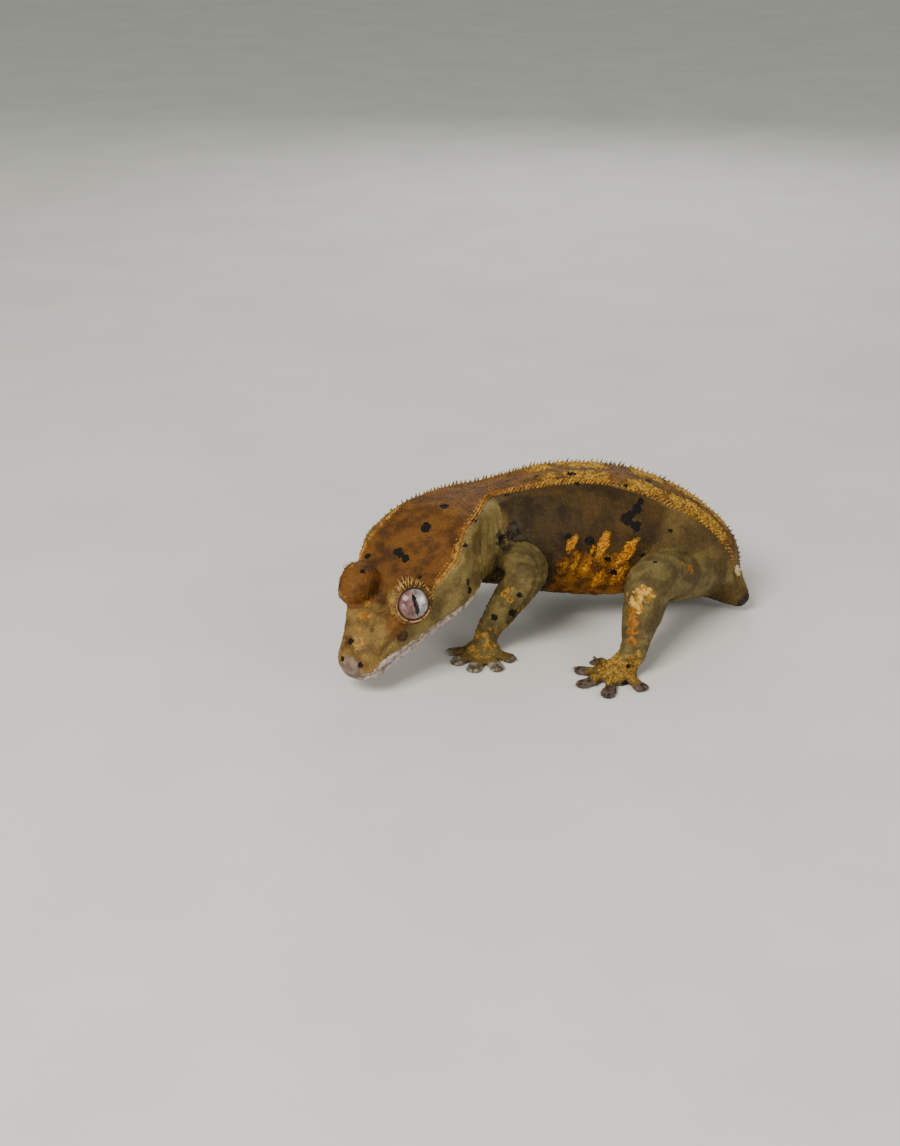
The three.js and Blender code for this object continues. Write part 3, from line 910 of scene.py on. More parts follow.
def fold_pushes(points, here):
    """Folds of the neck, the flanks, the elbows and the knees, and the unevenness of the skin."""
    along, turn = here["along"], here["turn"]
    bend = 1.6 * rough(points, 6, 21)
    neck = ease((along - 27) / 4) * ease((50 - along) / 8) * ease((turn - 45) / 30)
    push = neck * fold_wave(along + bend, NECK_FOLDS)
    flank = ease((along - 48) / 6) * ease((88 - along) / 8) * bump(turn - 105, 42)
    push += flank * fold_wave(along + 1.4 * bend, FLANK_FOLDS)
    limb, t = here["limb"], here["limb_t"]
    joints = limb * (bump(t - 0.4, 0.08) + bump(t - 0.8, 0.07))
    push += joints * fold_wave(points[:, 2] + 0.5 * bend, KNEE_FOLDS)
    push *= 1 - 0.6 * limb * (t < 0.3)
    push += 0.16 * rough(points, 3.4, 31) * (1 - 0.6 * limb)
    push += 0.05 * rough(points, 1.1, 41)
    return push * ease((here["along"] - 22) / 6)


normals = normals_of(skin_mesh)
points = points + normals * fold_pushes(points, place)[:, None]
points = on_floor(points)
set_points(skin_mesh, points)
normals = normals_of(skin_mesh)
place = where(points)
print("lowest point of the skin:", round(float(points[:, 2].min()), 3), "mm")

# %% [markdown]
# ## Marks placed one by one
# The dark spots of this animal are its own, like freckles, so they are placed where the picture
# shows them. A spot is named by its pixel and size, a ray is sent from the camera through that pixel,
# and the spot belongs to the place where the ray meets the skin. Each spot also has a partner on the
# other side of the body, a little out of place, because spots tend to come in pairs. A partner
# that would show in the picture is left out, since the picture has the last word there.

# %% From a pixel to the skin
FOCAL_PIXELS = LENS_MM / SENSOR_MM * PICTURE[1]
CAMERA_RIGHT = np.array([1.0, 0.0, 0.0])
SAME_PLACE = 2
tree = BVHTree.FromPolygons(points.tolist(), skin_faces)


def on_skin(x, y):
    """The point of the skin that the picture shows at a pixel, or None."""
    sideways = (x - PICTURE[0] / 2) * CAMERA_RIGHT
    upwards = (PICTURE[1] / 2 - y) * camera_up
    ray = unit(sideways + upwards - FOCAL_PIXELS * to_camera)
    return tree.ray_cast(Vector(camera_place), Vector(ray))[0]


def seen(point):
    """Whether the camera sees a point of the skin."""
    hit = tree.ray_cast(Vector(camera_place), Vector(unit(point - camera_place)))[0]
    return hit is not None and np.linalg.norm(np.array(hit) - point) < SAME_PLACE


def pixel_places(pixels):
    """Places on the skin and radii, without the pixels that miss it."""
    found = [(on_skin(x, y), radius) for x, y, radius in pixels]
    found = [(np.array(hit), radius) for hit, radius in found if hit is not None]
    return np.array([hit for hit, _ in found]), np.array([radius for _, radius in found])


print("skin at the middle of the picture:", on_skin(PICTURE[0] / 2, PICTURE[1] / 2))


# %% Spots
# x and y in the picture's pixels, and the radius in millimetres
SPOT_PIXELS = [
    (444, 506, 0.85), (426, 527, 0.95), (398, 551, 0.8), (405, 558, 0.75), (401, 554, 0.6),
    (368, 556, 0.6), (363, 571, 0.5), (351, 641, 0.6), (474, 521, 0.55), (465, 545, 0.4),
    (470, 590, 0.6), (508, 481, 0.5), (507, 495, 0.5), (537, 476, 0.45), (571, 474, 0.85),
    (578, 484, 0.45), (626, 486, 0.5), (649, 481, 0.65), (627, 519, 1.1), (637, 509, 0.95),
    (636, 527, 1.05), (641, 502, 0.6), (632, 515, 0.7), (589, 541, 0.85), (568, 537, 0.6),
    (608, 559, 0.6), (614, 572, 0.6), (643, 556, 0.5), (671, 531, 0.4), (682, 604, 0.45),
    (663, 625, 0.6), (655, 562, 0.4), (520, 595, 0.55), (513, 613, 0.85), (494, 617, 0.6),
    (504, 535, 0.35), (512, 539, 0.4), (628, 666, 0.45), (625, 683, 0.6), (420, 577, 0.4),
]
PARTNER_SHIFT = 1.3


def spots_on_body():
    """Centres and radii of the spots of both sides."""
    centres, radii = pixel_places(SPOT_PIXELS)
    here = where(centres)
    on_body = here["limb"] < 0.3
    along = here["along"][on_body] + PARTNER_SHIFT * np.sin(7 * radii[on_body])
    middle, _, left, up = body_frame(along)
    across = here["side"][on_body][:, None] * left
    partner = middle - across + here["rise"][on_body][:, None] * up
    hidden = np.array([not seen(p) for p in partner])
    return np.vstack([centres, partner[hidden]]), np.concatenate([radii, radii[on_body][hidden]])


spot_centres, spot_radii = spots_on_body()
print(len(spot_centres), "spots")


# %% [markdown]
# ## The markings
# The colours of a crested gecko lie in zones: an orange-brown crown and nape, khaki cheeks, a
# granular cream band along each crest, olive flanks with orange flames low down, yellow knees and
# foot tops, pale lips and pads. Each zone is a mask from 0 to 1, worked out from the place on the
# body, and stored on the points. A painted map could hold the same, but masks need no unwrap, and
# the skin and the scales ask the same functions, so they always agree.


# %% Soft and ragged edges
def between(value, low, high, soft):
    """1 where a value lies between two others, with soft edges."""
    return ease((value - low) / soft + 0.5) * ease((high - value) / soft + 0.5)


def near_places(points, centres, radii, ragged=0.35, soft=0.45):
    """1 inside the nearest of some round places and 0 outside, with a ragged edge."""
    wobble = 1 + ragged * rough(points, 0.9, 61)
    mask = np.zeros(len(points))
    for centre, radius in zip(centres, radii):
        gap = np.linalg.norm(points - centre, axis=1)
        mask = np.maximum(mask, ease((radius * wobble * 1.25 - gap) / (soft * radius)))
    return mask


print("a soft edge from 0 to 1:", between(np.array([-1.0, 0.0, 1.0]), 0, 9, 2))

# %% Patches from the picture
# x and y in the picture's pixels, and the radius in millimetres
PATCH_PIXELS = {
    "knee": [(642, 595, 2.1), (637, 604, 1.5)],
    "shin": [(634, 612, 1.5), (632, 621, 1.5), (632, 631, 1.4), (633, 641, 1.2)],
    "thigh": [(690, 568, 1.2), (683, 563, 0.6), (716, 606, 0.6)],
    "arm": [(505, 593, 1.5), (510, 600, 0.9), (519, 609, 0.8)],
    "pale": [(737, 570, 1.0)],
    # Painted shade lies in the crease by the shoulder
    "crease": [(503, 538, 2.6), (515, 532, 2.8), (527, 540, 2.4), (508, 547, 2.2)],
    # Painted shade lies along the fold of the skin above the thigh
    "fold": [(679 + 7 * k, 552 + k * k * 0.55, 0.34) for k in range(7)],
    "amber": [(363, 616, 1.6), (368, 605, 1.0), (360, 630, 0.9)],
    "freckle": [(402, 636, 1.1)],
}
PLACES = {name: pixel_places(pixels) for name, pixels in PATCH_PIXELS.items()}
print("patches placed:", {name: len(radii) for name, (_, radii) in PLACES.items()})

# %% [markdown]
# ## Lines of the crests
# Most markings keep their distance from the crest nearest to them. A crest is a line along the body,
# given by its angle from the middle of the back. On the left it follows the picture, point by point,
# and on the right it is drawn with fewer points, because only the species is known there.

# %% Lines of the crests
# Pairs of a distance from the snout in millimetres and an angle in degrees
left_crest = profile(
    [(17, 59), (21, 57), (24, 56), (27, 52), (30, 46), (33, 38), (36, 29), (40, 20), (44, 17),
     (50, 19), (58, 22), (66, 22), (72, 28), (80, 31), (88, 29), (95, 25)]
)
right_crest = profile([(17, 59), (24, 57), (30, 49), (36, 38), (42, 31), (50, 29), (95, 27)])


def crest_turn(along, side):
    """Angle of the crest from the middle of the back, on the left where side is positive."""
    return np.where(side >= 0, left_crest(along), right_crest(along))


print("crests at the shoulders:", crest_turn(np.array([44.0, 44.0]), np.array([1, -1])), "degrees")

# %% [markdown]
# ## Zones of the back
# Between the crests the back is warm brown, with gold patches from the shoulders on. Along each crest
# lies the cream band, streaked across and broken in a few places. Its grains are the brightest part
# of the animal. The breaks are at real distances from the snout, read from the picture.


# %% Zones of the back
# Distance from the snout and half length in millimetres, and strength of a break in the band
BAND_BREAKS = [(68, 1.6, 1.0), (75.6, 0.8, 0.75), (57, 0.8, 0.7)]
STREAK_PITCH = 1.1
BAND_WIDTH = 20


def back_masks(here, wobble, fine):
    """Zones between the crests and along them."""
    along, turn = here["along"], here["turn"]
    body = 1 - here["limb"]
    over = turn - crest_turn(along, here["side"])
    dorsal = ease((1.5 + 2 * fine - over) / 4) * body
    on_rump = ease((along - 88 - 2 * wobble) / 5)
    masks = {"warm": dorsal * (1 - on_rump)}
    on_trunk = ease((along - 45) / 10)
    masks["gold"] = dorsal * on_trunk * (1 - on_rump) * ease(0.75 + 1.1 * wobble)
    ragged_along = along + 1.3 * wobble + 0.8 * fine + 0.5 * np.sign(here["side"])
    breaks = sum(much * bump(ragged_along - start, half) for start, half, much in BAND_BREAKS)
    streak = np.sin((along + 0.12 * turn + 0.5 * fine) * 2 * np.pi / STREAK_PITCH)
    reach = BAND_WIDTH + 6 * wobble + 5 * fine
    band = between(over + 1.2 * streak, -reach, 1.5, 4)
    band = band * ease((along - 48) / 8) * ease((90 - along) / 5)
    masks["cream"] = band * np.clip(1 - breaks, 0, 1) * body * np.clip(0.8 + 0.7 * fine, 0, 1)
    line = bump(over + fine, 2.0) * ease((along - 16) / 1.5) * ease((60 - along) / 12)
    masks["crest"] = line * np.clip(0.62 + 0.9 * fine, 0.25, 1) * body
    return masks


print("breaks in the cream band:", len(BAND_BREAKS))

# %% [markdown]
# ## Zones of the flanks
# Below the crests the flanks are dark olive, with short orange flames and a rusty lower edge.
# Painted shade darkens the skin behind the arm and in the crease by the shoulder. The flames are
# slanted bumps, each with a place and a size in millimetres, since no two of them are alike.


# %% Zones of the flanks
# Distance from the snout, angle from the middle of the back, half length and half width in mm
FLAMES = [(56.5, 80, 1.4, 0.9), (65.2, 80, 2.6, 1.2), (70.0, 84, 2.6, 1.1), (61.5, 101, 2.0, 1.0)]
FLAMES += [(65.5, 112, 2.2, 1.3), (69.5, 108, 2.4, 1.0), (58.0, 98, 1.6, 0.7), (62.5, 84, 1.0, 0.6)]
FLAME_SLANT = 0.35


def flames(along, turn, fine):
    flame = np.zeros(len(along))
    girth = np.pi * (trunk_half(along) + trunk_rise(along)) / 360
    for start, angle, length, width in FLAMES:
        down = (turn - angle) * girth
        sway = along - start + FLAME_SLANT * down + 0.6 * fine
        flame = np.maximum(flame, 1.35 * bump(sway, width) * bump(down, length))
    return np.clip(flame, 0, 1)


def flank_masks(points, here, wobble, fine):
    """Zones below the crests, of the neck's sides, the belly and the stub of the tail."""
    along, turn = here["along"], here["turn"]
    body = 1 - here["limb"]
    over = turn - crest_turn(along, here["side"])
    masks = {"flank": between(over, 4, 75, 6) * between(along, 44, 76, 14) * body}
    neck_side = ease((42 + 2 * wobble - along) / 3) * ease((over - 1) / 4)
    masks["khaki"] = neck_side * ease((135 - turn) / 20) * body
    masks["blaze"] = flames(along, turn, fine) * body
    low = ease((turn - 80 - 18 * wobble - 10 * fine) / 16) * between(along, 54, 74, 6)
    masks["rust"] = low * ease((150 - turn) / 16) * body * np.clip(0.9 + 0.5 * fine, 0, 1)
    # Painted shade: darker skin behind the arm and in the crease by the shoulder
    behind_arm = between(along + 5 * wobble, 40, 57, 12) * ease((over - 8) / 14) * body
    crease = near_places(points, *PLACES["crease"], 0.3, 2.6)
    masks["shade"] = np.maximum(behind_arm, crease)
    masks["belly"] = ease((turn - 130) / 14) * body * ease((along - 24) / 6)
    masks["stub"] = ease((1.2 - SPINE_LENGTH + along + 0.3 * fine) / 0.6) * body
    return masks


print("flames on each flank:", len(FLAMES))

# %% [markdown]
# ## Zones of the legs
# The legs are khaki, with yellow knees and foot tops and orange patches on shin and thigh.
# Painted shade darkens a fold above the thigh and the front legs where they meet the body. The pads
# are pale on the front feet and dark on the hind ones. The feet are told apart by height above the
# floor and distance from the foot, and the patches lie where the picture has them.


# %% Zones of the feet
FEET = np.array([leg["foot"] for leg in LEGS.values()], float)
FIRST_HIND = 2


def foot_masks(points, here, fine):
    """Pads, tops of the feet and ankles, and where the toes are."""
    height, limb = points[:, 2], here["limb"]
    hind = (here["limb_id"] >= FIRST_HIND) * 1.0
    gap = np.linalg.norm(points[:, None, :2] - FEET[None, :, :2], axis=2).min(1)
    on_toes = limb * ease((3.4 - height) / 0.8) * ease((gap - 3.2) / 0.8) * ease((11 - gap) / 1)
    ends = on_toes * ease((gap - 4.9 - 0.9 * fine) / 1.2)
    on_top = ease((height - 0.9) / 0.5)
    palm = limb * ease((5.0 + fine - height) / 1.2) * ease((4.6 - gap) / 1) * on_top
    stems = on_toes * (1 - ends) * on_top
    hind_top = np.maximum(palm, stems) * hind
    front_top = np.maximum(0.8 * palm, 0.6 * stems) * (1 - hind) * ease(0.55 + 1.4 * fine)
    ankle = limb * (1 - hind) * between(height, 2.6, 6.0, 1.2) * ease(0.7 + 1.3 * fine)
    yellow = np.maximum.reduce([hind_top, front_top, 0.7 * ankle])
    return {"pad": ends * (1 - hind), "dark_pad": ends * hind, "yellow": yellow}, on_toes


print("feet:", len(FEET))


# %% Zones of the legs
def leg_masks(points, here, fine):
    """Zones of the legs and feet."""
    limb, hind = here["limb"], (here["limb_id"] >= FIRST_HIND) * 1.0
    masks, on_toes = foot_masks(points, here, fine)
    arm = near_places(points, *PLACES["arm"], 0.6, 0.9)
    masks["yellow"] = np.maximum(0.8 * arm, masks["yellow"])
    knee = near_places(points, *PLACES["knee"], 0.8, 0.9)
    masks["bright"] = knee * ease(0.9 + 1.2 * fine)
    shin = near_places(points, *PLACES["shin"], 0.35, 0.9)
    thigh = near_places(points, *PLACES["thigh"], 0.6, 1.2)
    masks["orange"] = np.maximum(0.85 * shin, 0.8 * thigh)
    # Painted shade in the fold of the skin above the thigh
    masks["fold"] = 0.8 * near_places(points, *PLACES["fold"], 0.3, 1.0)
    masks["limb"] = limb * (1 - on_toes)
    # Painted shade on the front legs where they meet the body, and in the crease by the shoulder
    shoulder = limb * (1 - hind) * ease((0.34 - here["limb_t"]) / 0.08)
    crease = near_places(points, *PLACES["crease"], 0.6, 1.5)
    masks["grey"] = np.maximum(shoulder * ease(0.6 + 0.9 * fine), crease)
    return masks


print("patches on the legs:", [name for name in PLACES if name in ("arm", "knee", "shin", "thigh")])

# %% [markdown]
# ## Zones of the head
# The head has the sharpest borders: a warm crown, khaki cheeks, an olive snout and pale lips. The
# openings get painted shade, in a mask of their own that lies over all the others.


# %% Zones of the head
def eye_gap(points):
    """Distance from the nearer eye's axis, for points near an eye."""
    best = np.full(len(points), 99.0)
    for side in (1, -1):
        offset = points - eye_centre(side)
        height = offset @ eye_axis(side)
        radial = np.sqrt(np.maximum((offset**2).sum(1) - height**2, 0))
        best = np.where((height > 0) & (radial < best), radial, best)
    return best


def crown_and_cheeks(points, here, wobble, fine, on_head):
    """The crown, the cheeks below it and the olive snout."""
    back, left, up = here["head"].T
    over = here["turn"] - crest_turn(here["along"], here["side"])
    by_height = ease((up - 0.62 * crest_height(back)) / 2.6 + 0.5)
    top = mix(by_height, ease((2 - over) / 3), ease((back - 15) / 3)) * on_head
    side = on_head * (1 - top)
    forward = ease((15.5 - back + 3 * wobble + 1.5 * fine) / 7)
    off_far_dome = ease((np.linalg.norm(points - eye_centre(-1), axis=1) - 4.2) / 1.2)
    on_top = top * forward * ease(0.9 + 0.8 * wobble) * off_far_dome
    olive = np.maximum(on_top, 0.75 * side * ease((11 - back) / 6))
    bridge = 0.8 * bump(back - 4.3, 1.6) * bump(left, 1.6) * ease(up - 2)
    return {"top": top, "khaki": side, "olive": olive, "bridge": bridge}


print("in the eyes' openings:", int((eye_gap(points) < EYE_OPENING).sum()), "points of the skin")


# %% Openings of the head
def hole_mask(here, eye, on_head):
    """Painted shade in the mouth's line, the nostrils, the ears and the sockets."""
    back, left, up = here["head"].T
    at = np.stack([back, np.abs(left), up], 1)
    mouth = bump(up, 0.15) * ease((MOUTH_END - back) / 2) * on_head * ease((back + 0.5) / 1)
    pits = np.linalg.norm(at - NOSTRIL_PLACE, axis=1)
    ear = np.linalg.norm((at - EAR_PLACE) / (0.7, 1.6, 1.3), axis=1)
    socket = ease((3.05 - eye) / 0.1) * on_head
    holes = [0.6 * mouth, ease((0.62 - pits) / 0.15), ease((0.75 - ear) / 0.3), socket]
    return np.maximum.reduce(holes)


def head_masks(points, here, wobble, fine):
    """Zones of the head."""
    along = here["along"]
    back, _, up = here["head"].T
    on_head = ease((31 - along) / 3) * (1 - here["limb"])
    masks = crown_and_cheeks(points, here, wobble, fine, on_head)
    masks["amber"] = 0.85 * near_places(points, *PLACES["amber"], 0.6, 1.4)
    lip = ease((2.5 - up + 0.4 * fine - 0.1 * back - 1.3 * bump(back, 2.4)) / 1.1) * on_head
    masks["lip"] = lip * ease((30 - along) / 3)
    snout_end = np.linalg.norm(here["head"] - (0.3, 0, 1.2), axis=1)
    masks["snout"] = ease((4.2 - snout_end + 0.5 * wobble + 0.2 * fine) / 4)
    eye = eye_gap(points)
    masks["fringe"] = 0.45 * bump(eye - 3.6, 0.5) * on_head * ease(0.7 + fine)
    masks["hole"] = hole_mask(here, eye, on_head)
    return masks


print("the lips end", MOUTH_END, "mm behind the snout's tip")

# %% [markdown]
# ## All the markings
# One function gathers the zones at any points, with the same two noises for all of them: a slow one
# that bends the borders, and a fine one that frays them.


# %% All the markings
def markings(points, here):
    """All the masks at some points, by name."""
    wobble, fine = rough(points, 4.5, 71), rough(points, 1.3, 81)
    masks = {**back_masks(here, wobble, fine), **flank_masks(points, here, wobble, fine)}
    for zones in (leg_masks(points, here, fine), head_masks(points, here, wobble, fine)):
        for name, values in zones.items():
            masks[name] = np.maximum(masks.get(name, 0), values)
    masks["spot"] = near_places(points, spot_centres, spot_radii)
    masks["pale"] = near_places(points, *PLACES["pale"], 0.4)
    masks["freckle"] = near_places(points, *PLACES["freckle"], 0.3, 0.5)
    return masks


masks = markings(points, place)
print("share of the skin:", ", ".join(f"{k} {v.mean():.2f}" for k, v in masks.items()))

# %% [markdown]
# ## Colours and nodes
# Colours are written as the sRGB hex values that the eye reads, and turned to the linear values that
# the renderer needs. A material is a tree of small nodes. One function adds a node of any kind with
# its settings, and feeds its inputs with numbers, hex colours or the outputs of other nodes, so that
# a material can be read as the list of its nodes.


# %% Colours and nodes
def linear(hex_colour):
    """An sRGB hex colour as linear values."""
    srgb = [int(hex_colour[i : i + 2], 16) / 255 for i in (0, 2, 4)]
    straight = [c / 12.92 if c < 0.04045 else ((c + 0.055) / 1.055) ** 2.4 for c in srgb]
    return (*straight, 1.0)


def feed(tree, node, inputs):
    """Gives a node's inputs their numbers, hex colours or links."""
    for key, value in inputs.items():
        if isinstance(value, bpy.types.NodeSocket):
            tree.links.new(value, node.inputs[key])
        else:
            node.inputs[key].default_value = linear(value) if isinstance(value, str) else value


def add(tree, kind, inputs, output=0, **settings):
    """A new node with its inputs and settings. It returns the output that the next one needs."""
    node = tree.nodes.new("ShaderNode" + kind)
    for key, value in settings.items():
        setattr(node, key, value)
    feed(tree, node, inputs)
    return node.outputs[output]


def new_material(name):
    """A material with its tree, its shader, and the place on the object that patterns follow."""
    material = bpy.data.materials.new(name)
    material.use_nodes = True
    tree = material.node_tree
    return material, tree, tree.nodes["Principled BSDF"], add(tree, "TexCoord", {}, "Object")


print("mid grey 808080 is", round(linear("808080")[0], 3), "in linear values")

# %% [markdown]
# ## Mottled tones
# Nothing on an animal has one flat colour. A tone here is two colours that lie in soft blotches of
# a size in millimetres. The blotches are noise, cut softly round its middle value. A mix could also
# be painted by hand, but noise has no seams and needs no map.

# %% Mottled tones
COLOUR_MIX = {"data_type": "RGBA"}
# A colour mix repeats the names of its sockets, so they are called by number
SHARE, UNDER, OVER = 0, 6, 7
MIXED = 2
SOFT_STEP = {"interpolation_type": "SMOOTHSTEP"}
LUMPY = {"Detail": 3.0, "Roughness": 0.6}


def mottled(tree, here, size_mm, dark, light, soft=0.15):
    """Two colours in blotches about size_mm across, and the noise that makes them."""
    lumps = add(tree, "TexNoise", {"Vector": here, "Scale": 1 / (size_mm * MM), **LUMPY})
    middle = {"Value": lumps, "From Min": 0.5 - soft, "From Max": 0.5 + soft}
    share = add(tree, "MapRange", middle, **SOFT_STEP)
    return add(tree, "Mix", {SHARE: share, UNDER: dark, OVER: light}, MIXED, **COLOUR_MIX), lumps


print("a blotch of 1 mm is noise at scale", round(1 / MM))

# %% [markdown]
# ## Colours of the zones
# Each zone of the markings has a dark and a light tone, so that no zone is flat. The zones are laid
# over each other in this order, the way a painter works from the ground colour to the spots.

# %% Colours of the zones
GROUND = (6.0, "4a3819", "6b5428")
# Each zone: mask, darker tone, lighter tone, size of its mottle in mm, raggedness of its edge
ZONES = [
    ("flank", "2f210b", "4a3513", 7.0, 0.4),
    ("khaki", "5f4d26", "84703e", 4.5, 0.4),
    ("warm", "553308", "744a10", 3.6, 0.5),
    ("top", "46290a", "6b4312", 4.2, 0.6),
    ("gold", "4e3208", "745010", 1.8, 0.6),
    ("olive", "5e461f", "7e622e", 2.4, 0.9),
    # Painted shade behind the arm and in the crease by the shoulder
    ("shade", "271b0b", "3f2f16", 5.0, 0.7),
    ("limb", "4d3e20", "6f5f33", 4.0, 0.3),
    # Painted shade where the front legs meet the body
    ("grey", "150f08", "3e3422", 1.0, 0.8),
    ("belly", "3c2f1a", "5e4c2b", 5.0, 0.4),
    # Painted shade in the fold of the skin above the thigh
    ("fold", "1e150a", "33260f", 2.0, 0.3),
    ("rust", "522e08", "8a5812", 1.5, 0.9),
    ("blaze", "94590e", "bd821e", 1.0, 0.6),
    ("orange", "6c420e", "9a641c", 0.7, 0.9),
    ("amber", "784d12", "a06f20", 1.2, 0.6),
    ("bridge", "80591f", "ac8448", 0.8, 0.9),
    ("crest", "7c4e18", "b27e34", 0.8, 0.6),
    ("cream", "785316", "b88c30", 0.7, 0.7),
    ("yellow", "5f4515", "9c762f", 0.8, 0.9),
    ("bright", "94661e", "cca24a", 0.8, 0.9),
    ("fringe", "94692e", "c09656", 0.8, 0.8),
    ("lip", "8a766c", "baaaa2", 1.0, 0.3),
    ("snout", "665447", "827062", 1.2, 0.5),
    ("lid", "7e5f3e", "ac8a62", 0.8, 0.2),
    ("pad", "4f4634", "8c8270", 1.0, 0.4),
    ("dark_pad", "33291f", "5f5146", 1.0, 0.4),
    ("pale", "a8925c", "d8caa0", 0.8, 0.3),
    ("stub", "1e1510", "382a20", 0.8, 0.2),
    ("freckle", "2e1a0c", "4c3019", 0.7, 0.2),
    ("spot", "080503", "150d07", 0.5, 0.1),
    # Painted shade in the mouth's line, the nostrils, the ears and the sockets
    ("hole", "140c08", "22160f", 0.5, 0.1),
]


def painted_zones(tree, here):
    """The colour of the skin: the ground, every zone over it, and lighter or darker scales."""
    colour, _ = mottled(tree, here, *GROUND)
    for zone, dark, light, size, ragged in ZONES:
        tone, lumps = mottled(tree, here, size, dark, light, soft=0.12)
        mask = add(tree, "Attribute", {}, "Fac", attribute_name=zone)
        edge = add(tree, "Math", {0: lumps, 1: 0.5}, operation="SUBTRACT")
        total = add(tree, "Math", {0: edge, 1: ragged, 2: mask}, operation="MULTIPLY_ADD")
        cut = {"Value": total, "From Min": 0.3, "From Max": 0.7}
        factor = add(tree, "MapRange", cut, **SOFT_STEP)
        coats = {SHARE: factor, UNDER: colour, OVER: tone}
        colour = add(tree, "Mix", coats, MIXED, **COLOUR_MIX)
    tint = add(tree, "Attribute", {}, "Fac", attribute_name="tint")
    value = add(tree, "MapRange", {"Value": tint, "To Min": 0.7, "To Max": 1.25}, **SOFT_STEP)
    return add(tree, "HueSaturation", {"Color": colour, "Value": value})


print("zones to paint:", len(ZONES))

# %% [markdown]
# ## Keratin skin
# The skin of a gecko is dry keratin over soft flesh. The eye reads it as satin: never wet, with a
# sheen only where a fold turns to the light, and a little glow where light passes into the flesh.
# Keratin bends light by about 1.5, and the many fine grains make it rough. Between the scales that
# are real mesh, two bumps stand for the finest ones. Real grains are 0.3 mm, and these are drawn at
# 0.42 mm, because finer ones don't show.

# %% Keratin skin
KERATIN = {"Roughness": 0.58, "Specular IOR Level": 0.16, "IOR": 1.5}
FLESH_GLOW = {
    "Subsurface Weight": 0.08,
    "Subsurface Radius": (1.0, 0.45, 0.2),
    "Subsurface Scale": 0.9 * MM,
}
GRAIN_MM = 0.42
GRAIN_RISE = 0.06
WRINKLE_MM = 0.9
WRINKLE_RISE = 0.12


def fine_grains(tree, here):
    """Round grains with fine wrinkles over them, as a bump."""
    packed = {"Vector": here, "Scale": 1 / (GRAIN_MM * MM), "Randomness": 0.8}
    cells = add(tree, "TexVoronoi", packed, feature="F1")
    fall = {"Value": cells, "From Max": 0.65, "To Min": 1.0, "To Max": 0.0}
    crowns = add(tree, "MapRange", fall, **SOFT_STEP)
    rise = {"Height": crowns, "Strength": 0.35, "Distance": GRAIN_RISE * MM}
    grains = add(tree, "Bump", rise)
    wrinkles = add(tree, "TexNoise", {"Vector": here, "Scale": 1 / (WRINKLE_MM * MM), **LUMPY})
    rise = {"Height": wrinkles, "Normal": grains, "Strength": 0.25, "Distance": WRINKLE_RISE * MM}
    return add(tree, "Bump", rise)


def keratin(name, over_flesh):
    """Satin keratin with the markings. The skin itself has flesh under it and fine grains."""
    material, tree, shader, here = new_material(name)
    feed(tree, shader, {"Base Color": painted_zones(tree, here), **KERATIN})
    if over_flesh:
        feed(tree, shader, {"Normal": fine_grains(tree, here), **FLESH_GLOW})
    return material


skin_paint = keratin("keratin_skin", over_flesh=True)
scale_paint = keratin("keratin_scales", over_flesh=False)
print("nodes in the skin's material:", len(skin_paint.node_tree.nodes))

# %% [markdown]
# ## The skin as an object
# The carved surface now moves into the frame, takes its masks and its paint, and stands for all the
# solids of flesh. The solids stay in the physics model, where they collide.


# %% Skin object
def store(mesh, name, values):
    layer = mesh.attributes.new(name, "FLOAT", "POINT")
    layer.data.foreach_set("value", np.asarray(values, np.float32))


FLESH = ["head", "lower_jaw", "neck", "torso_front", "torso_rear", "rump", "tail_stub"]
for leg_side in ("left", "right"):
    for part in ("upper_arm", "forearm", "front_foot", "thigh", "shank", "hind_foot"):
        FLESH.append(f"{part}_{leg_side}")

set_points(skin_mesh, to_frame(points))
skin_mesh.polygons.foreach_set("use_smooth", np.ones(len(skin_mesh.polygons), bool))
for name, values in masks.items():
    store(skin_mesh, name, values)
store(skin_mesh, "tint", 0.42 + 0.12 * rough(points, 0.5, 91))
skin_mesh.materials.append(skin_paint)
skin = bpy.data.objects.new("skin", skin_mesh)
bpy.context.scene.collection.objects.link(skin)
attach(skin, "root")
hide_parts(*FLESH)
print("skin stands for", len(FLESH), "solids")

# %% [markdown]
# ## Scales as real forms
# On a real crested gecko the scales are grains of a third of a millimetre. Where the skin is dull
# they hardly stand up, and in the bright bands they are raised like sugar crystals. They are drawn a
# little coarser than life, because finer ones would vanish in the picture. Each is a small dome in
# one joined mesh, rooted at a point of the skin, with the skin's own masks. One mesh with all of
# them is far lighter than an object for each.


# %% Many forms as one mesh
def form_faces(forms, levels, sides):
    """Faces of many forms: quads between the rings of each, and a fan of triangles to its tip."""
    k, i = np.meshgrid(np.arange(levels - 1), np.arange(sides), indexing="ij")
    a, b = k * sides + i, k * sides + (i + 1) % sides
    quads = np.stack([a, b, b + sides, a + sides], -1).reshape(-1, 4)
    i = np.arange(sides)
    last = (levels - 1) * sides
    fan = np.stack([last + i, last + (i + 1) % sides, np.full(sides, levels * sides)], -1)
    first = (np.arange(forms) * (levels * sides + 1))[:, None, None]
    quads = (quads[None] + first).reshape(-1, 4)
    fans = (fan[None] + first).reshape(-1, 3)
    return quads.tolist() + fans.tolist()


print("a scale of two rings of six points has", len(form_faces(1, 2, 6)), "faces")

# %% [markdown]
# ## A map for the bake
# A picture of the colours can be baked onto the scales, and for that each scale needs a place on a
# flat map. Unwrapping a hundred thousand forms would take long, so each one gets a tiny patch at the
# place of its root, on a simple unwrap of the skin, where the colour is its own.

# %% Map for the bake
BODY_LENGTH = 100
PATCH = 0.0015


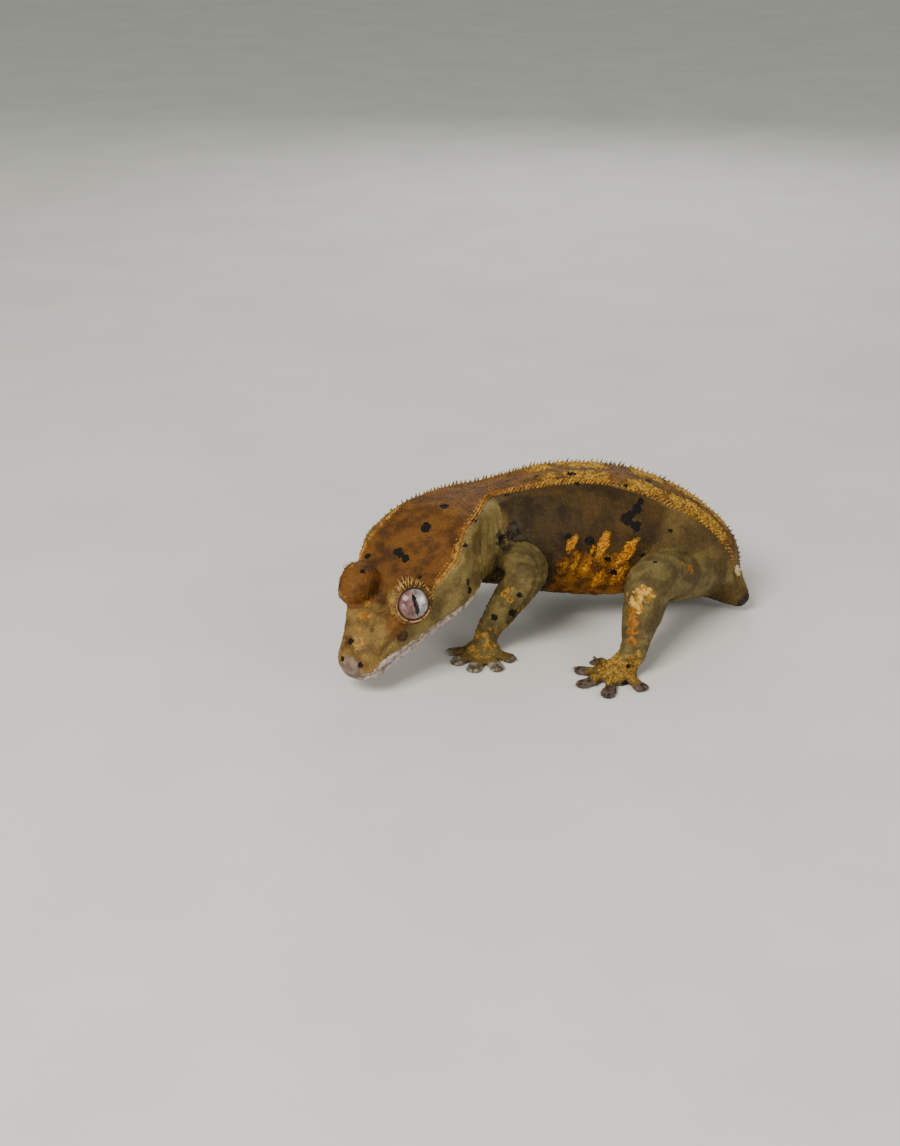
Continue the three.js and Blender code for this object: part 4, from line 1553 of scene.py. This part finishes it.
def bake_place(here):
    """A place from 0 to 1 on an unwrap of the skin: body above, and a strip for each leg below."""
    around = np.where(here["side"] >= 0, here["turn"], -here["turn"]) / 360 + 0.5
    u = np.clip(here["along"] / BODY_LENGTH, 0.01, 0.99)
    v = 0.52 + 0.46 * around
    on_leg = here["limb"] > 0.5
    strip = np.maximum(here["limb_id"], 0) * 0.12 + 0.03
    v = np.where(on_leg, strip + 0.08 * around, v)
    u = np.where(on_leg, 0.02 + 0.96 * here["limb_t"], u)
    return np.stack([u, v], 1)


def map_forms(mesh, here, levels, sides):
    """Writes the map: each form is a small patch, with its tip in the middle."""
    turn = circle(sides)
    ring = np.stack([np.cos(turn), np.sin(turn)], -1)
    shrink = np.linspace(1, 0.4, levels)[:, None, None]
    local = np.concatenate([(ring * shrink * PATCH).reshape(-1, 2), np.zeros((1, 2))])
    uv = (bake_place(here)[:, None] + local[None]).reshape(-1, 2)
    corner = np.empty(len(mesh.loops), np.int32)
    mesh.loops.foreach_get("vertex_index", corner)
    layer = mesh.uv_layers.new(name="OFBake")
    layer.data.foreach_set("uv", uv[corner].ravel().astype(np.float32))


on_map = bake_place(place)
print("the skin's places on the map:", on_map.min(0).round(2), "to", on_map.max(0).round(2))


# %% A piece of the coat
def coat_piece(name, rings, tips, roots, masks, tint):
    """Many small pointed forms as one mesh.

    rings is (forms, rings, sides, 3) from root to tip, and tips (forms, 3), in millimetres.
    """
    forms, levels, sides = rings.shape[:3]
    verts = np.concatenate([rings.reshape(forms, -1, 3), tips[:, None]], 1).reshape(-1, 3)
    made = new_object(name, verts, form_faces(forms, levels, sides))
    map_forms(made.data, where(roots), levels, sides)
    for mask_name, values in {**masks, "tint": tint}.items():
        store(made.data, mask_name, np.repeat(values, levels * sides + 1))
    made.data.materials.append(scale_paint)
    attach(made, "root")
    print(name, forms, "forms,", forms * sides * (2 * levels - 1), "triangles")
    return made


print("scales wear", scale_paint.name)

# %% [markdown]
# ## Small cones, evenly scattered
# A scale is a low cone with a rounded side: two rings and a tip, sunk a little into the skin so that
# no gap shows. The roots are points of the skin, one from each cell of a grid, which spaces them
# almost evenly at no cost. The grid is turned, so that its rows don't show in the coat.


# %% Small cones
def frames_on(normals, lean):
    """For each normal, a direction that leans and two directions square to it."""
    axis = unit(normals + lean)
    helper = np.where(np.abs(axis[:, 2:]) > 0.9, np.array([[1.0, 0, 0]]), UP[None])
    u = unit(np.cross(helper, axis))
    return axis, u, np.cross(axis, u)


def cones(roots, normals, radius, length, lean, levels=(0, 0.45), widths=(1, 0.72), sides=6, sink=0.06):
    """Rings and tips of small forms that rise from the skin: rings at levels, with widths."""
    axis, u, v = frames_on(normals, lean)
    turn = circle(sides)[None, :, None]
    round_it = np.cos(turn) * u[:, None] + np.sin(turn) * v[:, None]
    rings = []
    for level, width in zip(levels, widths):
        height = level * length - (sink if level == 0 else 0)
        middle = roots + axis * height[:, None]
        rings.append(middle[:, None] + round_it * (radius * width)[:, None, None])
    return np.stack(rings, 1), roots + axis * length[:, None]


def scatter(points, spacing, seed):
    """Indices of points about that far apart: one from each cell of a grid."""
    rng = np.random.default_rng(seed)
    order = rng.permutation(len(points))
    cells = np.floor(points[order] @ NOISE_AXES.T / spacing).astype(np.int64)
    keys = cells[:, 0] * 1_000_003 + cells[:, 1] * 10_007 + cells[:, 2]
    return order[np.unique(keys, return_index=True)[1]]


print("roots 3 mm apart all over the skin:", len(scatter(points, 3.0, 1)))

# %% [markdown]
# ## Grains over the body
# The bright zones get tall grains close together, and the rest get low ones. None grow on the eyes,
# in the mouth, nostrils and ears, or under the soles.

# %% Where grains grow
CREAMY = ("cream", "yellow", "bright", "crest", "blaze", "pale", "rust")
BARE = ("hole", "pad", "dark_pad", "snout")
SOLE_TOP = 0.5

bright = np.maximum.reduce([masks[k] for k in CREAMY])
bare = np.maximum.reduce([masks[k] for k in BARE])
bare = np.maximum(bare, points[:, 2] < SOLE_TOP)
is_head = place["along"] < 30
is_limb = place["limb"] > 0.5
is_trunk = ~is_head & ~is_limb
dull = (bright < 0.3) & (bare < 0.3)
lively = (bright >= 0.3) & (bare < 0.3)
print("share of the skin with tall grains:", lively.mean().round(2), "with low:", dull.mean().round(2))

# %% Grains
BRIGHT_SPACING = 0.46
DULL_SPACING = 0.62
FINE_SPACING = 0.9 * DULL_SPACING


def grow_grains(name, chosen, spacing, seed, height_low, height_high):
    """Grains on the chosen points, taller where the skin is bright, and leaning backwards."""
    at = np.flatnonzero(chosen)
    picked = at[scatter(points[at], spacing, seed)]
    rng = np.random.default_rng(seed)
    glow = bright[picked]
    size = rng.uniform(0.8, 1.15, len(picked))
    radius = 0.52 * spacing * size
    height = mix(height_low, height_high, glow) * rng.uniform(0.6, 1.3, len(picked))
    _, back, _, _ = body_frame(place["along"][picked])
    lean = back * (0.25 + 0.5 * glow)[:, None]
    rings, tips = cones(points[picked], normals[picked], radius, height, lean)
    picked_masks = {k: v[picked] for k, v in masks.items()}
    tint = np.clip(0.4 + 0.25 * glow + rng.uniform(-0.2, 0.25, len(picked)), 0, 1)
    return coat_piece(name, rings, tips, points[picked], picked_masks, tint)


grow_grains("grains_bright_trunk", lively & is_trunk, BRIGHT_SPACING, 3, 0.12, 0.34)
grow_grains("grains_bright_head", lively & is_head, BRIGHT_SPACING, 5, 0.1, 0.26)
grow_grains("grains_bright_legs", lively & is_limb, BRIGHT_SPACING, 7, 0.1, 0.26)
grow_grains("grains_trunk", dull & is_trunk, DULL_SPACING, 11, 0.06, 0.1)
grow_grains("grains_head", dull & is_head, FINE_SPACING, 13, 0.06, 0.1)
grow_grains("grains_legs", dull & is_limb, FINE_SPACING, 17, 0.05, 0.1)

# %% [markdown]
# ## Crests
# Two rows of soft spines run from behind the eyes to the tail, and give the animal its name. They
# could be drawn as hair, but the exported model keeps only meshes, so they are cones bent backwards,
# set much closer than in the solids, with small ones among them.

# %% Spines on the skin
DEGREES_PER_MM = 5


def on_crest(along, side, aside):
    """Points of the skin on a crest, or aside of it by some millimetres, and the way outwards."""
    centre, _, left, up = body_frame(along)
    turn = np.radians(crest_turn(along, side) + aside * DEGREES_PER_MM)[:, None]
    way = left * side * np.sin(turn) + up * np.cos(turn)
    found = []
    for c, w in zip(centre, way):
        hit = tree.ray_cast(Vector(c + w * 20), Vector(-w))[0]
        found.append(np.array(hit if hit else c + w * 10))
    return np.array(found), way


def spines(name, roots, outward, radius, length, lean, tint, zones, sides=6):
    """Bent cones on the skin. zones gives the masks that differ from the skin's own."""
    levels, widths = (0, 0.3, 0.62, 0.85), (1, 0.74, 0.42, 0.2)
    rings, tips = cones(roots, outward, radius, length, lean, levels, widths, sides, sink=0.15)
    bend = unit(lean + 1e-9) * (0.22 * length)[:, None]
    for level, share in enumerate(levels):
        rings[:, level] += (bend * share**2)[:, None]
    coloured = {**markings(roots, where(roots)), **zones}
    return coat_piece(name, rings, tips + bend, roots, coloured, tint)


crest_middle, _ = on_crest(np.array([60.0]), 1, 0.0)
print("the left crest at mid back, mm:", crest_middle[0].round(1))

# %% Crest spines
CREST_START = 17.0
CREST_END = 93.0
CREST_PITCH = 0.72
# How far each row stands aside of the crest in millimetres, and its share of the full length
CREST_ROWS = [(0.0, 1.0), (0.55, 0.6), (-0.55, 0.5)]
# On the left and on the right: painted light and shade, the near crest paler and the far one darker
CREST_LIGHT_AND_SHADE = (0.75, 0.42)

rng = np.random.default_rng(101)
crest_along = np.arange(CREST_START, CREST_END, CREST_PITCH)
crest_length = profile([(17, 0.55), (24, 0.75), (45, 0.9), (75, 0.9), (93, 0.5)])
roots, outward, lengths, leans = [], [], [], []
for side in (1, -1):
    for row, (aside, share) in enumerate(CREST_ROWS):
        along = crest_along + rng.uniform(-0.15, 0.15, len(crest_along)) + 0.3 * row
        edge, way = on_crest(along, side, aside)
        _, back, _, up = body_frame(along)
        roots.append(edge)
        outward.append(unit(way + 0.4 * up))
        lengths.append(crest_length(along) * share * rng.uniform(0.75, 1.25, len(along)))
        leans.append(back * rng.uniform(0.1, 0.4, (len(along), 1)))
roots, outward = np.vstack(roots), np.vstack(outward)
lengths, leans = np.concatenate(lengths), np.vstack(leans)
tint = rng.uniform(0.3, 0.8, len(roots))
# Painted light on the near crest and painted shade on the far one
paleness = np.repeat(CREST_LIGHT_AND_SHADE, len(roots) // 2)
thick = 0.12 + 0.14 * lengths
spines("crest_spines", roots, outward, thick, lengths, leans, tint, {"crest": paleness})

# %% [markdown]
# ## Rims of the lids
# The edge of the skin round each eye is a thin rim of bead-like scales. A ring swept round the eye
# makes it, with the beads as a wave in its thickness, so that it closes the gap between the socket
# and the ball.

# %% Rims of the lids
LID_RING = 3.04
LID_THICK = 0.14
LID_OUT = 2.12
LID_BEADS = 40


def lid_rim(name, side, around=240, sides=12):
    """A thin ring of bead-like scales round an eye, darker above and paler below."""
    axis = eye_axis(side)
    u, v = square_to(axis)
    turn, roll = circle(around)[:, None, None], circle(sides)[None, :, None]
    out = np.cos(turn) * u + np.sin(turn) * v
    thick = LID_THICK * (0.84 + 0.16 * np.abs(np.sin(turn * LID_BEADS / 2)) ** 0.6)
    middle = eye_centre(side) + LID_OUT * axis
    verts = middle + out * (LID_RING + thick * np.cos(roll)) + axis * thick * np.sin(roll)
    a, b = np.meshgrid(np.arange(around), np.arange(sides), indexing="ij")
    a2, b2 = (a + 1) % around, (b + 1) % sides
    faces = np.stack([a * sides + b, a2 * sides + b, a2 * sides + b2, a * sides + b2], -1)
    made = new_object(name, verts.reshape(-1, 3), faces.reshape(-1, 4).tolist())
    points = verts.reshape(-1, 3)
    store(made.data, "lid", np.ones(len(points)))
    low = (middle - points) @ head_up / LID_RING
    store(made.data, "tint", 0.45 + 0.45 * low + 0.2 * rough(points, 0.6, 95))
    made.data.materials.append(skin_paint)
    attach(made, "root")
    return made


lid_rim("lid_rim_left", 1)
lid_rim("lid_rim_right", -1)
print("lid rims", LID_THICK * 2, "mm thick")

# %% [markdown]
# ## Lashes
# Pointed scales stand round the upper and front edge of each eye, longest at the top. They keep the
# eye clear of water and gave the animal its other common name, the eyelash gecko. They are the same
# bent cones as in the crests, in three rows that get shorter outwards.

# %% Lashes over the eyes
LASH_ARC = (-100, 105)
LASH_LENGTH = 2.3
# How many lashes each row has, its distance from the rim in mm, and its share of the full length
LASH_ROWS = [(24, 0.15, 1.0), (22, 0.55, 0.7), (18, 1.0, 0.5)]
# On the left and on the right, where hardly a lash shows in the picture
LASH_PALENESS = (0.85, 0.3)
RIGHT_LASHES = 0.5


def to_skin(ideal):
    """The nearest points of the skin, with its normals."""
    hits = [tree.find_nearest(Vector(p)) for p in ideal]
    return np.array([h[0] for h in hits]), np.array([h[1] for h in hits])


roots, outward, lengths, leans = [], [], [], []
for side in (1, -1):
    axis = eye_axis(side)
    top = unit(head_up - axis * (head_up @ axis))
    front = np.cross(axis, top) * side
    front = front if front @ head_forward > 0 else -front
    middle = eye_centre(side) + 2.0 * axis
    for count, gap, share in LASH_ROWS:
        turn = np.radians(np.linspace(*LASH_ARC, count) + rng.uniform(-3, 3, count))[:, None]
        out = top * np.cos(turn) - front * np.sin(turn)
        ideal = middle + out * (LID_RING + gap) - axis * gap
        edge, normal = to_skin(ideal)
        strength = (0.24 + 0.76 * bump(np.degrees(turn[:, 0]) - 8, 34)) * share
        strength *= 1.0 if side > 0 else RIGHT_LASHES
        roots.append(edge)
        outward.append(unit(out + 0.35 * axis + 0.3 * normal))
        lengths.append(LASH_LENGTH * strength * rng.uniform(0.7, 1.15, count))
        leans.append(rng.uniform(-0.12, 0.12, (count, 3)))
roots, outward = np.vstack(roots), np.vstack(outward)
lengths, leans = np.concatenate(lengths), np.vstack(leans)
tint = np.clip(0.3 + 0.35 * lengths, 0, 0.9)
paleness = np.repeat(LASH_PALENESS, len(roots) // 2)
thick = 0.08 + 0.03 * lengths
spines("lashes", roots, outward, thick, lengths, leans, tint, {"fringe": paleness})

# %% [markdown]
# ## The iris
# The iris of this animal is silver with a tint of rose, netted with fine dark veins, and the pupil is
# an upright slit with scalloped edges. Iris tissue is matt, and the wet look comes from the cornea
# over it: a clear coat with a cornea's refractive index of 1.38, polished by moisture. The pupil is
# drawn in the eye's own plane, so its edge stays sharp from every side.

# %% Iris tissue
VEIN_MM = 0.55


def iris_tissue(tree, here, fields):
    """Rose to one side, silver to the other, dark veins, a painted glint and a dark rim."""
    rose, _ = mottled(tree, here, 1.6, "5c3e39", "9a746c")
    pale, _ = mottled(tree, here, 1.1, "6c625c", "bab0aa")
    sides = {"Value": fields["across"], "From Min": -0.25, "From Max": 0.25}
    share = add(tree, "MapRange", sides, **SOFT_STEP)
    colour = add(tree, "Mix", {SHARE: share, UNDER: pale, OVER: rose}, MIXED, **COLOUR_MIX)
    curly = {"Scale": 1 / (VEIN_MM * MM), "Detail": 6.0, "Roughness": 0.7, "Distortion": 1.2}
    net = add(tree, "TexNoise", {"Vector": here, **curly})
    level = add(tree, "Math", {0: net, 1: 0.5}, operation="SUBTRACT")
    line = add(tree, "Math", {0: level}, operation="ABSOLUTE")
    thin = {"Value": line, "From Max": 0.05, "To Min": 1.0, "To Max": 0.0}
    vein = add(tree, "MapRange", thin, **SOFT_STEP)
    faint = add(tree, "Math", {0: vein, 1: 0.7}, operation="MULTIPLY")
    colour = add(tree, "Mix", {SHARE: faint, UNDER: colour, OVER: "5c4644"}, MIXED, **COLOUR_MIX)
    # A painted highlight: a pale patch on the silver side where a lamp's glint would fall
    glint = {SHARE: fields["painted_glint"], UNDER: colour, OVER: "f4f0ec"}
    colour = add(tree, "Mix", glint, MIXED, **COLOUR_MIX)
    outer = {"Value": fields["polar"], "From Min": 0.74, "From Max": 0.96}
    rim = add(tree, "MapRange", outer, **SOFT_STEP)
    return add(tree, "Mix", {SHARE: rim, UNDER: colour, OVER: "1c110d"}, MIXED, **COLOUR_MIX)


print("veins are noise at scale", round(1 / (VEIN_MM * MM)))

# %% Slit pupil
# Sizes are shares of half the eye's opening
SCALLOP_TURNS = 14.0
SCALLOP_DEPTH = 0.014
PUPIL_HALF = 0.13
PUPIL_EDGE = 0.012


def slit_pupil(tree, fields):
    """1 inside an upright slit with scalloped edges, and 0 outside it."""
    across, upright = fields["across"], fields["upright"]
    turns = add(tree, "Math", {0: upright, 1: SCALLOP_TURNS}, operation="MULTIPLY")
    wave = add(tree, "Math", {0: turns}, operation="COSINE")
    square = add(tree, "Math", {0: upright, 1: upright}, operation="MULTIPLY")
    narrowing = {"Value": square, "From Max": 0.62, "To Min": PUPIL_HALF, "To Max": 0.0}
    taper = add(tree, "MapRange", narrowing, **SOFT_STEP)
    width = add(tree, "Math", {0: wave, 1: SCALLOP_DEPTH, 2: taper}, operation="MULTIPLY_ADD")
    apart = add(tree, "Math", {0: across}, operation="ABSOLUTE")
    inside = add(tree, "Math", {0: width, 1: apart}, operation="SUBTRACT")
    edge = {"Value": inside, "From Min": -PUPIL_EDGE, "From Max": PUPIL_EDGE}
    return add(tree, "MapRange", edge, **SOFT_STEP)


def wet_iris():
    material, tree, shader, here = new_material("iris_under_clear_cornea")
    names = ("across", "upright", "polar", "painted_glint")
    fields = {n: add(tree, "Attribute", {}, "Fac", attribute_name=n) for n in names}
    pupil, iris = slit_pupil(tree, fields), iris_tissue(tree, here, fields)
    inks = {SHARE: pupil, UNDER: iris, OVER: "050403"}
    colour = add(tree, "Mix", inks, MIXED, **COLOUR_MIX)
    tissue = {"Base Color": colour, "Roughness": 0.5, "Specular IOR Level": 0.05}
    cornea = {"Coat Weight": 1.0, "Coat Roughness": 0.02, "Coat IOR": 1.38}
    feed(tree, shader, {**tissue, **cornea})
    return material


iris_paint = wet_iris()
print("nodes in the iris:", len(iris_paint.node_tree.nodes))

# %% [markdown]
# ## Eyeballs
# Each eye is one ball that bulges a little in front, as a cornea does. A sphere with a lens on it
# could be cut and joined, but one bulging form has no edge to catch the light. The ball also carries
# the measures that draw the iris: how far across, how far up the pupil, and how far from its middle.

# %% Ball of the eye
SEGMENTS = 72
CORNEA_BULGE = 0.035


def ball(centre, axis):
    """Points and faces of an eye. The last two points are its front and its back."""
    count = SEGMENTS // 2
    angle = np.linspace(0, np.pi, count + 1)[1:-1, None, None]
    turn = circle(SEGMENTS)[None, :, None]
    u, v = square_to(axis)
    flat = np.cos(turn) * u + np.sin(turn) * v
    radius = EYE_RADIUS * (1 + CORNEA_BULGE * bump(angle, 0.75))
    rings = centre + radius * (np.cos(angle) * axis + np.sin(angle) * flat)
    front = centre + axis * EYE_RADIUS * (1 + CORNEA_BULGE)
    verts = np.vstack([rings.reshape(-1, 3), front, centre - axis * EYE_RADIUS])
    rows, cols = np.meshgrid(np.arange(count - 2), np.arange(SEGMENTS), indexing="ij")
    a, b = rows * SEGMENTS + cols, rows * SEGMENTS + (cols + 1) % SEGMENTS
    faces = np.stack([a, a + SEGMENTS, b + SEGMENTS, b], -1).reshape(-1, 4).tolist()
    top, bottom = len(verts) - 2, len(verts) - 1
    last = (count - 2) * SEGMENTS
    for k in range(SEGMENTS):
        faces.append([top, k, (k + 1) % SEGMENTS])
        faces.append([bottom, last + (k + 1) % SEGMENTS, last + k])
    return verts, faces


print("faces of an eye:", len(ball(np.zeros(3), UP)[1]))

# %% Eyeballs
PUPIL_LEAN = math.radians(14)
# Place and size of the painted highlight on the iris, in shares of half the opening
PAINTED_GLINT_PLACE = (-0.46, 0.16)
PAINTED_GLINT_SIZE = 0.19


def pupil_direction(axis, side):
    """The way up the pupil: as the picture shows it on the left, and the head's own on the right."""
    if side > 0:
        seen_up = unit(-math.sin(PUPIL_LEAN) * CAMERA_RIGHT + math.cos(PUPIL_LEAN) * camera_up)
        return unit(seen_up - to_camera * (seen_up @ axis) / (to_camera @ axis))
    return unit(head_up - axis * (head_up @ axis))


def eyeball(name, side):
    axis, centre = eye_axis(side), eye_centre(side)
    verts, faces = ball(centre, axis)
    made = new_object(name, verts, faces)
    upright = pupil_direction(axis, side)
    sideways = np.cross(axis, upright)
    offset = (verts - centre) / EYE_OPENING
    height, x, y = offset @ axis, offset @ sideways, offset @ upright
    store(made.data, "across", np.where(height > 0, x, 2))
    store(made.data, "upright", y)
    store(made.data, "polar", np.linalg.norm(offset - height[:, None] * axis, axis=1))
    # The painted highlight, a pale patch on the front of the eye
    from_painted_glint = np.hypot(x - PAINTED_GLINT_PLACE[0], y - PAINTED_GLINT_PLACE[1])
    store(made.data, "painted_glint", bump(from_painted_glint, PAINTED_GLINT_SIZE) * (height > 0))
    made.data.materials.append(iris_paint)
    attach(made, "root")
    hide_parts(name.replace("eyeball", "eye"))
    return made


for name, side in (("eyeball_left", 1), ("eyeball_right", -1)):
    eyeball(name, side)
print("two eyes", 2 * EYE_RADIUS, "mm across")

# %% [markdown]
# ## Claws
# Each toe ends in a small hooked claw above its pad. Claw is dense horn, which is keratin again but
# worn smooth, so the eye sees it darker, faintly mottled and shinier than the skin. A claw is a tube
# that narrows to a point, on a line that rises and then dips.

# %% Claws
CLAW_LENGTH = 0.9
CLAW_HALF = 0.22
CLAW_TIP = 0.03
CLAW_RINGS = 9
CLAW_SIDES = 10
CLAW_ROOT_HEIGHT = 0.72
CLAW_ARCH = 0.35
CLAW_DIP = 0.55
HORN = {"Roughness": 0.3, "IOR": 1.54}


def claw_horn():
    material, tree, shader, here = new_material("claw_horn")
    horn, _ = mottled(tree, here, 0.5, "2e2118", "5e4a36")
    feed(tree, shader, {"Base Color": horn, **HORN})
    return material


def claw_rings(toe):
    """Rings of one claw, from its root in the toe to its tip."""
    t = np.linspace(0, 1, CLAW_RINGS)
    start = toe["root"] + toe["ahead"] * (toe["length"] * 0.97 - CLAW_LENGTH / 2)
    line = start + toe["ahead"] * CLAW_LENGTH * t[:, None]
    line[:, 2] = CLAW_ROOT_HEIGHT + CLAW_ARCH * np.sin(np.pi * 0.9 * t) - CLAW_DIP * t**2
    return tube_rings(line, CLAW_HALF * (1 - t) ** 0.8 + CLAW_TIP, CLAW_SIDES)


def claws():
    """All the claws as one mesh."""
    verts, faces = [], []
    for toe in toes:
        faces += loft_faces(CLAW_RINGS, CLAW_SIDES, len(verts) * CLAW_RINGS * CLAW_SIDES)
        verts.append(claw_rings(toe).reshape(-1, 3))
    made = new_object("claws", np.vstack(verts), faces)
    made.data.materials.append(claw_horn())
    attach(made, "root")
    return made


claws()
print("claws:", len(toes))

# %% [markdown]
# ## The floor's finish
# The floor is painted board: pale and matt, with the faintest clouds in its paint, so that it takes
# soft shadows and does not draw the eye.

# %% Floor material
BOARD_CLOUDS_MM = 40.0
BOARD = {"Roughness": 0.85}


def painted_board():
    material, tree, shader, here = new_material("painted_board")
    paint, _ = mottled(tree, here, BOARD_CLOUDS_MM, "d9d6cf", "e0ddd6", soft=0.2)
    feed(tree, shader, {"Base Color": paint, **BOARD})
    return material


floor.data.materials.append(painted_board())
print("materials:", len(bpy.data.materials))
